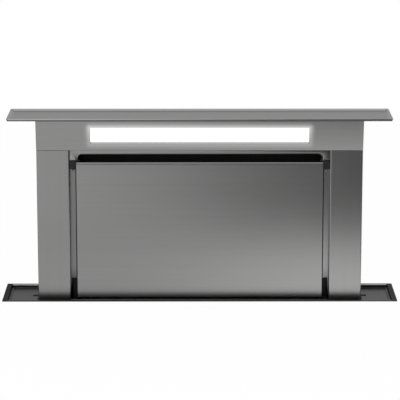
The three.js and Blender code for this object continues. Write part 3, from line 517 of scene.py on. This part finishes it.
def light_chip(name):
    """Yellow phosphor that is lit."""
    finish = Finish(name)
    phosphor = finish.noise(700.0)
    return finish.surface(
        {"Roughness": 0.3, "Emission Strength": 2.0},
        colour=finish.shades(phosphor, (0.85, 0.80, 0.45), 0.1),
        glow=finish.shades(phosphor, (1.0, 0.97, 0.9), 0.05))


MATERIALS = {}


def material(name):
    """The finish of that name, built when it is first asked for."""
    if name not in MATERIALS:
        MATERIALS[name] = MAKERS[name](name)
    return MATERIALS[name]


MAKERS = {
    "steel_along": column_steel,
    "steel_upright": lambda name: column_steel(name, "z", gap_painted_shade),
    "steel_panel": lambda name: column_steel(name, detail=panel_hem),
    "steel_lintel": lambda name: column_steel(name, detail=lintel_painted_shade),
    "steel_head": lambda name: column_steel(
        name, detail=lambda finish, _: window_spill(finish, setting("light").glow)),
    "steel_tray": lambda name: column_steel(
        name, detail=lambda finish, _: window_spill(finish, 0.02)),
    "steel_cap": lambda name: column_steel(name, detail=cap_painted_light),
    "steel_flange": lambda name: brushed_steel(
        name, setting("steel").flange_colour, grazing=0.43, detail=flange_painted_light),
    "galvanised": galvanised,
    "dark_coating": dark_coating,
    "drawn_steel": lambda name: machined_steel(name, "x"),
    "turned_steel": lambda name: machined_steel(name, "z"),
    "cast_aluminium": cast_aluminium,
    "filter_mesh": filter_mesh,
    "black_plastic": lambda name: moulded(name, (0.018, 0.018, 0.020), 1300.0, 0.48, 0.06 * MM),
    "grey_plastic": lambda name: moulded(name, (0.055, 0.058, 0.062), 800.0, 0.52, 0.1 * MM),
    "rubber": lambda name: moulded(name, (0.012, 0.012, 0.012), 2000.0, 0.78, 0.05 * MM),
    "circuit_board": circuit_board,
    "lit_acrylic": lit_acrylic,
    "light_chip": light_chip,
}


# ---- Pieces ----


def object_from(name, work):
    """A new object at the origin from a bmesh."""
    mesh = bpy.data.meshes.new(name)
    work.to_mesh(mesh)
    work.free()
    if mesh.has_custom_normals:  # those of the CAD mesh, which don't fit the new faces
        mesh.attributes.remove(mesh.attributes["custom_normal"])
    piece = bpy.data.objects.new(name, mesh)
    bpy.context.collection.objects.link(piece)
    return piece


def wall(work, first, second):
    """Faces between two closed loops of vertices."""
    for i in range(len(first)):
        j = (i + 1) % len(first)
        work.faces.new((first[i], first[j], second[j], second[i]))


def breadth(face):
    """About how wide a face is, across its longest edge."""
    return face.calc_area() / max(edge.calc_length() for edge in face.edges)


def round_edges(work, radius, segments, wanted):
    edges = [
        edge for edge in work.edges
        if len(edge.link_faces) == 2 and edge.calc_face_angle(0.0) > FOLD_ANGLE and wanted(edge)]
    if edges:
        bmesh.ops.bevel(
            work, geom=edges, offset=radius, offset_type="OFFSET", segments=segments, profile=0.5,
            affect="EDGES", clamp_overlap=True)


def is_flat(face):
    """A plane face, not a facet of a rounded one, whose neighbours are as wide as it is."""
    return all(
        not PLANE_ANGLE < edge.calc_face_angle(math.pi) < FACET_ANGLE
        or all(other is face or breadth(other) * 4 < breadth(face) for other in edge.link_faces)
        for edge in face.edges)


def is_fold(edge):
    """Outside of a bend between two wide faces."""
    return edge.is_convex and all(breadth(face) > 4 * MM for face in edge.link_faces)


def finished(node, finish, fold=None, rim=None, shape=None):
    """The node with its folds and cut edges rounded, in a finish, in place of the CAD node."""
    edges = setting("edges")
    work = bmesh.new()
    work.from_mesh(NODES[node].data)
    bmesh.ops.remove_doubles(work, verts=work.verts, dist=1e-6)
    bmesh.ops.dissolve_limit(
        work, angle_limit=math.radians(0.5), verts=work.verts, edges=work.edges)
    if shape:
        shape(work)
    work.normal_update()
    planes = [
        (face.normal.copy(), face.verts[0].co.dot(face.normal))
        for face in work.faces if is_flat(face)]
    round_edges(work, edges.fold if fold is None else fold, 3, is_fold)
    round_edges(work, edges.rim if rim is None else rim, 1, lambda edge: edge.is_convex)
    work.normal_update()
    rounded = [
        not any(
            face.normal.dot(normal) > 0.99999
            and abs(face.verts[0].co.dot(normal) - reach) < 0.01 * MM
            for normal, reach in planes)
        for face in work.faces]
    piece = object_from(f"{node}_finished", work)
    piece.data.set_sharp_from_angle(angle=SMOOTH_ANGLE)
    piece.data.polygons.foreach_set("use_smooth", rounded)
    coat(piece.data, finish)
    add_piece(piece, BODY_OF[node], SLOT_OF[node])
    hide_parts(node)


def coat(mesh, finish):
    mesh.materials.clear()
    mesh.materials.append(material(finish))


def add_piece(piece, body, slot):
    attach(piece, body)


# ---- Geometry Nodes: what repeats ----


class Tree:
    """A Geometry Nodes tree under construction, with named inputs."""

    def __init__(self, name, inputs):
        self.tree = bpy.data.node_groups.new(name, "GeometryNodeTree")
        self.tree.is_modifier = True
        face = self.tree.interface
        face.new_socket("Geometry", in_out="OUTPUT", socket_type="NodeSocketGeometry")
        face.new_socket("Geometry", in_out="INPUT", socket_type="NodeSocketGeometry")
        for label, kind in inputs.items():
            face.new_socket(label, in_out="INPUT", socket_type="NodeSocket" + kind)
        self.inputs = self.tree.nodes.new("NodeGroupInput").outputs

    def node(self, kind, settings, sockets):
        """The outputs of a new node."""
        return add_node(self.tree, kind, settings, sockets).outputs

    def maths(self, operation, first, second):
        return self.node("ShaderNodeMath", {"operation": operation}, {0: first, 1: second})[0]

    def lifted(self, geometry, height):
        """The geometry, moved up."""
        above = self.node("ShaderNodeCombineXYZ", {}, {"Z": height})[0]
        return self.node("GeometryNodeTransform", {}, {
            "Geometry": geometry, "Translation": above})[0]

    def placed(self, instance, sockets):
        """The instance on each point of the mesh."""
        return self.node("GeometryNodeInstanceOnPoints", {}, {
            "Points": self.inputs["Geometry"], "Instance": instance, **sockets})[0]

    def finish(self, geometry):
        """Realizes the instances, gives them the material, and closes the tree."""
        real = self.node("GeometryNodeRealizeInstances", {}, {"Geometry": geometry})[0]
        coated = self.node("GeometryNodeSetMaterial", {}, {
            "Geometry": real, "Material": self.inputs["Material"]})[0]
        self.node("NodeGroupOutput", {}, {"Geometry": coated})
        return self.tree


def head_tree(kind):
    """A head at each point of the mesh, facing the way that the point's attribute says."""
    build = Tree(f"{kind} heads", {"Radius": "Float", "Height": "Float", "Material": "Material"})
    radius, height = build.inputs["Radius"], build.inputs["Height"]
    node, maths = build.node, build.maths
    if kind == "rivet":
        ball = node("GeometryNodeMeshUVSphere", {}, {
            "Segments": 14, "Rings": 8, "Radius": radius})[0]
        flat = maths("DIVIDE", height, radius)
        scale = node("ShaderNodeCombineXYZ", {}, {"X": 1.0, "Y": 1.0, "Z": flat})[0]
        head = node("GeometryNodeTransform", {}, {"Geometry": ball, "Scale": scale})[0]
    else:
        sides, top = (6, radius) if kind == "bolt" else (22, maths("MULTIPLY", radius, 0.78))
        cone = node("GeometryNodeMeshCone", {}, {
            "Vertices": sides, "Radius Top": top, "Radius Bottom": radius,
            "Depth": height})["Mesh"]
        key = node("GeometryNodeMeshCylinder", {}, {
            "Vertices": 6, "Radius": maths("MULTIPLY", radius, 0.42), "Depth": height})["Mesh"]
        raised = build.lifted(key, maths("MULTIPLY", height, 0.92))
        head = node("GeometryNodeMeshBoolean", {"operation": "DIFFERENCE"}, {
            "Mesh 1": cone, "Mesh 2": raised})[0]
    facing = node("GeometryNodeInputNamedAttribute", {"data_type": "FLOAT_VECTOR"}, {
        "Name": "facing"})[0]
    turn = node("FunctionNodeAlignRotationToVector", {"axis": "Z"}, {"Vector": facing})[0]
    return build.finish(build.placed(head, {"Rotation": turn}))


def block_tree():
    """A small block at each point of the mesh, square to a facing direction in the YZ plane."""
    build = Tree("blocks", {"Size": "Vector", "Tilt": "Float", "Material": "Material"})
    block = build.node("GeometryNodeMeshCube", {}, {"Size": build.inputs["Size"]})[0]
    tilt = build.node("ShaderNodeCombineXYZ", {}, {"X": build.inputs["Tilt"]})[0]
    turn = build.node("FunctionNodeEulerToRotation", {}, {0: tilt})[0]
    return build.finish(build.placed(block, {"Rotation": turn}))


def thread_tree():
    """A screw: a core with a square thread wound round it, standing on the object's point."""
    build = Tree("thread", {
        "Length": "Float", "Pitch": "Float", "Core": "Float", "Crest": "Float",
        "Material": "Material"})
    length, pitch, core, crest = (
        build.inputs[key] for key in ("Length", "Pitch", "Core", "Crest"))
    node, maths = build.node, build.maths
    width = maths("MULTIPLY", pitch, 0.46)
    depth = maths("SUBTRACT", crest, core)
    middle = maths("MULTIPLY", maths("ADD", crest, core), 0.5)
    rise = maths("SUBTRACT", length, width)
    spiral = node("GeometryNodeCurveSpiral", {}, {
        "Resolution": 20, "Rotations": maths("DIVIDE", rise, pitch), "Start Radius": middle,
        "End Radius": middle, "Height": rise})[0]
    profile = node("GeometryNodeCurvePrimitiveQuadrilateral", {}, {
        "Width": depth, "Height": width})[0]
    ridge = node("GeometryNodeCurveToMesh", {}, {
        "Curve": spiral, "Profile Curve": profile, "Fill Caps": True})[0]
    rod = node("GeometryNodeMeshCylinder", {}, {
        "Vertices": 32, "Radius": core, "Depth": length})["Mesh"]
    both = build.tree.nodes.new("GeometryNodeJoinGeometry")
    for piece, height in ((ridge, width), (rod, length)):
        standing = build.lifted(piece, maths("MULTIPLY", height, 0.5))
        build.tree.links.new(standing, both.inputs[0])
    return build.finish(build.placed(both.outputs[0], {}))


TREES = {}


def grown(name, tree_name, make_tree, points, facing, inputs, finish):
    """A plain mesh of what the tree makes on the points."""
    if tree_name not in TREES:
        TREES[tree_name] = make_tree()
    tree = TREES[tree_name]
    mesh = bpy.data.meshes.new(name + "_points")
    mesh.from_pydata([tuple(point) for point in points], [], [])
    if facing:
        layer = mesh.attributes.new("facing", "FLOAT_VECTOR", "POINT")
        for entry, direction in zip(layer.data, facing):
            entry.vector = direction
    seed = bpy.data.objects.new(name, mesh)
    bpy.context.collection.objects.link(seed)
    modifier = seed.modifiers.new("grow", "NODES")
    modifier.node_group = tree
    sockets = {
        item.name: item.identifier for item in tree.interface.items_tree
        if item.in_out == "INPUT"}
    for label, value in {**inputs, "Material": material(finish)}.items():
        modifier[sockets[label]] = value
    bpy.context.view_layer.update()
    evaluated = seed.evaluated_get(bpy.context.evaluated_depsgraph_get())
    result = bpy.data.meshes.new_from_object(evaluated)
    seed.modifiers.clear()
    seed.data = result
    coat(result, finish)
    result.shade_smooth()
    result.set_sharp_from_angle(angle=SMOOTH_ANGLE)
    return seed


def heads(name, kind, body, slot, places, radius, height):
    """Rivets, screws or bolts: each place is a point and the way that its head faces."""
    points, facing = zip(*places)
    piece = grown(
        name, kind, lambda: head_tree(kind), points, facing,
        {"Radius": radius, "Height": height}, "turned_steel")
    add_piece(piece, body, slot)


def row(start, end, count):
    """Points spread evenly from start to end."""
    start, end = Vector(start), Vector(end)
    return [start.lerp(end, i / (count - 1)) for i in range(count)]


# ---- Operators ----


class BuildPart(bpy.types.Operator):
    """Base of the operators that build the vent"""
    bl_options = {"REGISTER"}

    def execute(self, context):
        self.build()
        return {"FINISHED"}


class VENT_OT_flange(BuildPart):
    """Finish the worktop flange and the seal round its opening"""
    bl_idname = "vent.flange"
    bl_label = "Flange and Seal"

    def build(self):
        finished("flange", "steel_flange", fold=1.4 * MM)
        finished("opening_seal", "rubber", fold=0.4 * MM)


class VENT_OT_cap(BuildPart):
    """Finish the cap plate and its seal"""
    bl_idname = "vent.cap"
    bl_label = "Cap"

    def build(self):
        finished("cap_plate", "steel_cap", fold=0.3 * MM, shape=self.slope_rim)
        finished("cap_seal", "rubber", fold=0.2 * MM)

    def slope_rim(self, work):
        """Slopes both sides of the cap's raised rim, down to a deeper middle."""
        low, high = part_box("cap_plate")
        middle = (low + high) / 2
        inner_slope, outer_slope, outer_depth = 3.2 * MM, 1.4 * MM, 2.6 * MM
        crest, floor, chamfer = 0.4 * MM, 1.0 * MM, 1.4 * MM  # depths, as the solid has them
        for vertex in work.verts:
            out = vertex.co - middle
            depth = high.z - vertex.co.z
            if depth < crest:
                shift = inner_slope if abs(out.x) < high.x - 6.5 * MM else -outer_slope
                vertex.co += Vector((math.copysign(shift, out.x), math.copysign(shift, out.y), 0))
            elif depth < floor:
                vertex.co.z = high.z - inner_slope
            elif depth < chamfer:
                vertex.co.z = high.z - outer_depth


class VENT_OT_head(BuildPart):
    """Finish the head with its light window, diffuser, board and chips"""
    bl_idname = "vent.head"
    bl_label = "Head and Light"

    def build(self):
        finished("head_fascia", "steel_head")
        finished("head_beam", "galvanised")
        finished("light_tray", "steel_tray", fold=0.3 * MM)
        finished("light_diffuser", "lit_acrylic", fold=0.3 * MM)
        finished("led_board", "circuit_board", fold=0.1 * MM)
        low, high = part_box("led_board")
        board, chip = 1.2 * MM, (3.2 * MM, 0.8 * MM, 2.8 * MM)
        tilt = math.atan2(high.y - low.y - board, high.z - low.z)
        front = Vector((0, -math.cos(tilt), -math.sin(tilt)))
        middle = (low + high) / 2 + front * (1.0 * MM)
        end = high.x - 8 * MM
        points = row(
            (-end, middle.y, middle.z), (end, middle.y, middle.z), setting("light").chips)
        chips = grown(
            "light_chips", "block", block_tree, points, None, {"Size": chip, "Tilt": tilt},
            "light_chip")
        add_piece(chips, "column", "circuit_board")


class VENT_OT_column(BuildPart):
    """Finish the column: pillars, lintel, back, air walls, lower fascia and lift fittings"""
    bl_idname = "vent.column"
    bl_label = "Column"

    def build(self):
        finished("lintel", "steel_lintel", fold=0.5 * MM)
        for node in ("pillar_left", "pillar_right"):
            finished(node, "steel_upright", fold=2.4 * MM)
        finished("back_panel", "steel_along", fold=0.3 * MM)
        finished("lower_fascia", "steel_along")
        for node in ("duct_wall_left", "duct_wall_right", "filter_deck"):
            finished(node, "dark_coating")
        for node in ("base_crossbar", "hinge_bracket_left", "hinge_bracket_right"):
            finished(node, "galvanised", fold=0.5 * MM)
        for node in ("slide_shoe_left", "slide_shoe_right", "lift_nut"):
            finished(node, "grey_plastic", fold=0.8 * MM)
        for node in ("panel_catch_left", "panel_catch_right"):
            finished(node, "black_plastic", fold=0.6 * MM)


class VENT_OT_front_panel(BuildPart):
    """Finish the front panel that tilts open, and its stiffener"""
    bl_idname = "vent.front_panel"
    bl_label = "Front Panel"

    def build(self):
        finished("front_panel", "steel_panel", fold=1.0 * MM)
        finished("panel_stiffener", "galvanised")


class VENT_OT_gaskets(BuildPart):
    """Lay the rubber strips on the landings that the front panel closes against"""
    bl_idname = "vent.gaskets"
    bl_label = "Panel Gaskets"

    def build(self):
        """A strip with a rounded lip beside each long edge, from the cut-out up to the catch."""
        catch_low, catch_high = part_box("panel_catch_right")
        plane = catch_high.y + SEAT
        ends = (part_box("flange")[1].z + 42 * MM, catch_low.z - 1.5 * MM)
        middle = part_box("front_panel")[1].x - 1.5 * MM
        half, height, steps = 4.5 * MM, 4.2 * MM, 10
        angles = [math.pi * i / steps for i in range(steps + 1)]
        # The black rubber strips are a seal, and also painted shade: they stand in for the dark
        # gap beside the panel's edges.
        for side, name in ((-1, "left"), (1, "right")):
            work = bmesh.new()
            lower, upper = ([
                work.verts.new((
                    side * (middle + half * math.cos(angle)),
                    plane - height * math.sin(angle) ** 0.5, z))
                for angle in angles] for z in ends)
            wall(work, lower, upper)
            work.faces.new(lower)
            work.faces.new(upper)
            bmesh.ops.recalc_face_normals(work, faces=work.faces)
            strip = object_from(f"panel_gasket_{name}", work)
            strip.data.shade_smooth()
            strip.data.set_sharp_from_angle(angle=SMOOTH_ANGLE)
            coat(strip.data, "rubber")
            add_piece(strip, "column", SLOT_OF["cap_seal"])


class VENT_OT_filters(BuildPart):
    """Finish the two grease filters and their latches"""
    bl_idname = "vent.filters"
    bl_label = "Grease Filters"

    def build(self):
        for side in ("left", "right"):
            finished(f"grease_filter_{side}", "filter_mesh", fold=0.4 * MM, rim=0.1 * MM)
            finished(f"filter_latch_{side}", "black_plastic", fold=0.4 * MM)


class VENT_OT_housing(BuildPart):
    """Finish the housing under the worktop, its legs, rails, clamps and sensors"""
    bl_idname = "vent.housing"
    bl_label = "Housing"

    def build(self):
        for node in ("housing_front", "housing_back", "housing_bottom"):
            finished(node, "galvanised")
        for side in ("left", "right"):
            for node in ("housing_side", "leg", "clamp_bracket"):
                finished(f"{node}_{side}", "galvanised")
            finished(f"guide_rail_{side}", "drawn_steel", fold=0.5 * MM)
            finished(f"clamp_screw_{side}", "turned_steel", fold=0.4 * MM)
        for node in ("sensor_upper", "sensor_lower"):
            finished(node, "black_plastic", fold=0.8 * MM)


class VENT_OT_lift(BuildPart):
    """Finish the lift motor and gearbox, and wind the thread of the lead screw"""
    bl_idname = "vent.lift"
    bl_label = "Lift Drive"

    def build(self):
        finished("gearbox", "cast_aluminium", fold=2.0 * MM)
        finished("lift_motor", "black_plastic", fold=1.0 * MM)
        low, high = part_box("lead_screw")
        foot = Vector(((low.x + high.x) / 2, (low.y + high.y) / 2, low.z))
        crest = (high.x - low.x) / 2
        sizes = {
            "Length": high.z - low.z, "Pitch": setting("fasteners").thread_pitch,
            "Core": crest * 0.8, "Crest": crest}
        screw = grown(
            "lead_screw_thread", "thread", thread_tree, [foot], None, sizes, "turned_steel")
        add_piece(screw, "screw", SLOT_OF["lead_screw"])
        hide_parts("lead_screw")


class VENT_OT_blower(BuildPart):
    """Finish the blower: scroll, inlet plate, impeller, motor, outlet collar and flaps"""
    bl_idname = "vent.blower"
    bl_label = "Blower"

    def build(self):
        for node in ("scroll_shell", "inlet_plate", "outlet_collar"):
            finished(node, "grey_plastic", fold=0.6 * MM)
        finished("impeller", "grey_plastic", fold=0.0, rim=0.15 * MM)
        finished("fan_motor", "cast_aluminium", fold=1.5 * MM)
        for node in ("flap_front", "flap_rear"):
            finished(node, "black_plastic", fold=0.2 * MM)


class VENT_OT_controls(BuildPart):
    """Finish the control box, its lid, board and cable gland"""
    bl_idname = "vent.controls"
    bl_label = "Control Box"

    def build(self):
        for node in ("control_box", "control_lid"):
            finished(node, "galvanised")
        finished("control_board", "circuit_board", fold=0.2 * MM)
        finished("cable_gland", "black_plastic", fold=0.6 * MM)


class VENT_OT_fasteners(BuildPart):
    """Place the rivets, screws and bolts that hold the sheets, rails and motors"""
    bl_idname = "vent.fasteners"
    bl_label = "Fasteners"

    def build(self):
        sizes = setting("fasteners")
        rivet = (sizes.rivet_radius, sizes.rivet_radius * 0.5)
        screw = (sizes.screw_radius, sizes.screw_radius * 0.6)
        front, back = Vector((0, -1, 0)), Vector((0, 1, 0))
        for name, kind, body, slot, places, size in (
            ("housing_rivets", "rivet", "housing", "galvanised",
             self.housing_rivets(front, back), rivet),
            ("column_rivets", "rivet", "column", "galvanised", self.column_rivets(back), rivet),
            ("motor_bolts", "bolt", "housing", "machined_steel",
             self.motor_bolts(front), (4.5 * MM, 3.5 * MM)),
            ("lid_screws", "screw", "housing", "machined_steel", self.lid_screws(front), screw),
            ("leg_bolts", "bolt", "housing", "machined_steel",
             self.leg_bolts(), (6.5 * MM, 4.5 * MM)),
            ("scroll_screws", "screw", "housing", "machined_steel",
             self.scroll_screws(front), screw),
            ("catch_screws", "rivet", "column", "machined_steel",
             self.catch_screws(front), (2.5 * MM, 1.5 * MM)),
        ):
            heads(name, kind, body, slot, places, *size)

    def housing_rivets(self, front, back):
        """Rows down both edges of the front and back walls."""
        low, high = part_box("housing_front")
        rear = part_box("housing_back")[1].y
        bottom, top = low.z + 30 * MM, high.z - 30 * MM
        places = []
        for side in (-1, 1):
            x = side * (high.x - 6 * MM)
            for y, facing in ((low.y, front), (rear, back)):
                places += [(point, facing) for point in row((x, y, bottom), (x, y, top), 9)]
        return places

    def column_rivets(self, back):
        """Rows down both edges of the back panel, and one along its top."""
        low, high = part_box("back_panel")
        y, bottom, top = high.y, low.z + 20 * MM, high.z - 12 * MM
        edge, end = high.x - 8 * MM, high.x - 40 * MM
        points = row((-edge, y, bottom), (-edge, y, top), 11)
        points += row((edge, y, bottom), (edge, y, top), 11)
        points += row((-end, y, top), (end, y, top), 13)
        return [(point, back) for point in points]

    def motor_bolts(self, front):
        """Round the fan motor's flange."""
        low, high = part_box("fan_motor")
        middle = (low + high) / 2
        flange, radius = 3 * MM, 51.5 * MM
        middle.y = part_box("scroll_shell")[0].y - SEAT - flange
        angles = [math.radians(30 + 60 * i) for i in range(6)]
        return [
            (middle + Vector((radius * math.cos(angle), 0, radius * math.sin(angle))), front)
            for angle in angles]

    def lid_screws(self, front):
        """One in each corner of the control box's lid."""
        low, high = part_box("control_lid")
        inset = 8 * MM
        return [
            (Vector((x, low.y, z)), front)
            for x in (low.x + inset, high.x - inset) for z in (low.z + inset, high.z - inset)]

    def leg_bolts(self):
        """Two in the slots of each leg."""
        low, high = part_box("leg_right")
        y = high.y - 35 * MM
        outer = low.x + 2.5 * MM
        return [
            (Vector((side * outer, y, z)), Vector((side, 0, 0)))
            for side in (-1, 1) for z in (95 * MM, 165 * MM)]

    def catch_screws(self, front):
        """One under each catch, in the pillar's landing."""
        low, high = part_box("panel_catch_right")
        x, y, z = (low.x + high.x) / 2, high.y + SEAT, low.z - 5 * MM
        return [(Vector((side * x, y, z)), front) for side in (-1, 1)]

    def scroll_screws(self, front):
        """On the rim of the inlet plate, which stands out past the scroll's outlet."""
        low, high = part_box("inlet_plate")
        sheet = 2 * MM
        x, y = high.x - 10 * MM, high.y - sheet
        return [
            (Vector((x, y, z)), front)
            for z in (low.z + 4 * MM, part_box("outlet_collar")[1].z)]


class VENT_OT_stage(BuildPart):
    """Set up the floor, the worktop, the surroundings, the lamps and the camera"""
    bl_idname = "vent.stage"
    bl_label = "Stage, Lights and Camera"

    def build(self):
        bpy.context.scene.view_settings.view_transform = "Standard"
        self.floor()
        self.worktop()
        self.surroundings()
        self.lamps()
        self.camera()

    def pale(self, name, mirrored):
        """White to the camera, with a light shadow on it; mirrored is its brightness in steel."""
        finish = Finish(name)
        rays = finish.node("LightPath", {}, {})
        lit = finish.node("BsdfDiffuse", {}, {"Color": (0.85, 0.85, 0.85, 1.0)})["BSDF"]
        white = finish.node("Emission", {}, {"Strength": 1.03})["Emission"]
        glossy = finish.node("Emission", {}, {"Strength": mirrored(finish)})["Emission"]
        seen = rays["Is Camera Ray"].most(rays["Is Transmission Ray"])
        shown = finish.node("MixShader", {}, {0: seen * 0.93, 1: lit, 2: white})[0]
        both = finish.node("MixShader", {}, {0: rays["Is Glossy Ray"], 1: shown, 2: glossy})[0]
        finish.node("OutputMaterial", {}, {"Surface": both})
        return finish.material

    def floor(self):
        def mirrored(finish):
            """Bright on the left in front of the object, and on the right beside it."""
            across, away, _ = finish.axes()
            beside = away.step(-1.6, -0.9)
            front = 1.25 - across.step(-0.30, 0.35) * 1.25
            return front * (1 - beside) + across.step(-0.5, 0.5) * beside

        work = bmesh.new()
        bmesh.ops.create_grid(work, x_segments=1, y_segments=1, size=6.0)
        floor = object_from("floor", work)
        floor.data.materials.append(self.pale("floor_white", mirrored))

    def worktop(self):
        """A worktop with the cut-out that the flange covers."""
        def mirrored(finish):
            """Even on the left; on the right bright by the flange and dark at the front."""
            across, away, _ = finish.axes()
            right = across.step(-0.25, 0.35)
            return 0.88 - right * 0.88 + right * away.step(-0.66, -0.40) * 1.32

        top = next(
            mount["pos_m"][2] for mount in RECORD["mounts"] if mount["name"] == "worktop_seat")
        low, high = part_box("flange")
        hidden = 7 * MM  # how far the flange's rim covers the edge of the cut-out
        outer = (-0.56, -0.86, 0.56, high.y + 0.14)
        inner = (low.x + hidden, low.y + hidden, high.x - hidden, high.y - hidden)
        work = bmesh.new()
        wall(work, *(
            [work.verts.new((x, y, top)) for x, y in ((x0, y0), (x1, y0), (x1, y1), (x0, y1))]
            for x0, y0, x1, y1 in (outer, inner)))
        worktop = object_from("worktop", work)
        worktop.data.materials.append(self.pale("worktop_white", mirrored))
        solid = worktop.modifiers.new("thickness", "SOLIDIFY")
        solid.thickness = 30 * MM
        solid.offset = -1.0

    def surroundings(self):
        """White to the camera, soft light on the object, and dark at the front right in steel."""
        world = bpy.data.worlds.new("surroundings")
        bpy.context.scene.world = world
        sky = Shading(world)
        rays = sky.node("LightPath", {}, {})
        across, away, up = sky.parts(sky.node("TexCoord", {}, {})["Generated"])
        dark = across.step(-0.12, 0.08) * away.step(0.35, -0.10)
        overhead = up.step(0.60, 0.90)
        mirrored = (0.81 - dark * 0.76) * (1 - overhead) + overhead
        soft, white, studio = (
            sky.node("Background", {}, {"Color": (1.0, 1.0, 1.0, 1.0), "Strength": strength})[0]
            for strength in (0.55, 1.0, mirrored))
        seen = rays["Is Camera Ray"].most(rays["Is Transmission Ray"])
        shown = sky.node("MixShader", {}, {0: seen, 1: soft, 2: white})[0]
        both = sky.node("MixShader", {}, {0: rays["Is Glossy Ray"], 1: shown, 2: studio})[0]
        sky.node("OutputWorld", {}, {"Surface": both})

    def lamps(self):
        self.lamp("key", (-1.8, -2.6, 2.9), (0, 0, 0.8), 1.6, 16)
        self.lamp("fill", (2.4, -2.2, 1.4), (0, 0, 0.8), 1.8, 3.5)

    def lamp(self, name, place, target, size, power):
        data = bpy.data.lights.new(name, "AREA")
        data.shape = "DISK"
        data.size = size
        data.energy = power
        lamp = bpy.data.objects.new(name, data)
        bpy.context.collection.objects.link(lamp)
        lamp.location = place
        lamp.rotation_euler = (Vector(target) - Vector(place)).to_track_quat("-Z", "Y").to_euler()

    def camera(self):
        stage = setting("stage")
        data = bpy.data.cameras.new("camera")
        data.lens = stage.lens
        data.sensor_width = 36.0
        data.clip_end = 50.0
        camera = bpy.data.objects.new("camera", data)
        bpy.context.collection.objects.link(camera)
        camera.matrix_world = (
            Matrix.Translation(stage.place) @ Matrix.Rotation(stage.yaw, 4, "Z")
            @ Matrix.Rotation(math.pi / 2 - stage.pitch, 4, "X"))
        bpy.context.scene.camera = camera


class VENT_PT_sidebar(bpy.types.Panel):
    """The vent's sizes, colours and steps"""
    bl_idname = "VENT_PT_sidebar"
    bl_label = "Downdraft Vent"
    bl_space_type = "VIEW_3D"
    bl_region_type = "UI"
    bl_category = "Vent"

    def draw(self, context):
        for operator in OPERATORS:
            self.layout.operator(operator.bl_idname)
        for group, kind in SETTINGS.items():
            values = setting(group)
            for name in kind.__annotations__:
                self.layout.prop(values, name)


OPERATORS = (
    VENT_OT_flange, VENT_OT_cap, VENT_OT_head, VENT_OT_column, VENT_OT_front_panel,
    VENT_OT_gaskets, VENT_OT_filters, VENT_OT_housing, VENT_OT_lift, VENT_OT_blower,
    VENT_OT_controls, VENT_OT_fasteners, VENT_OT_stage,
)
CLASSES = (*SETTINGS.values(), *OPERATORS, VENT_PT_sidebar)


def register():
    for kind in CLASSES:
        bpy.utils.register_class(kind)
    for group, kind in SETTINGS.items():
        setattr(bpy.types.Scene, f"vent_{group}", PointerProperty(type=kind))


def unregister():
    for group in SETTINGS:
        delattr(bpy.types.Scene, f"vent_{group}")
    for kind in reversed(CLASSES):
        bpy.utils.unregister_class(kind)


def main():
    register()
    for operator in OPERATORS:
        getattr(bpy.ops.vent, operator.bl_idname.split(".")[1])()


if __name__ == "__main__":
    main()
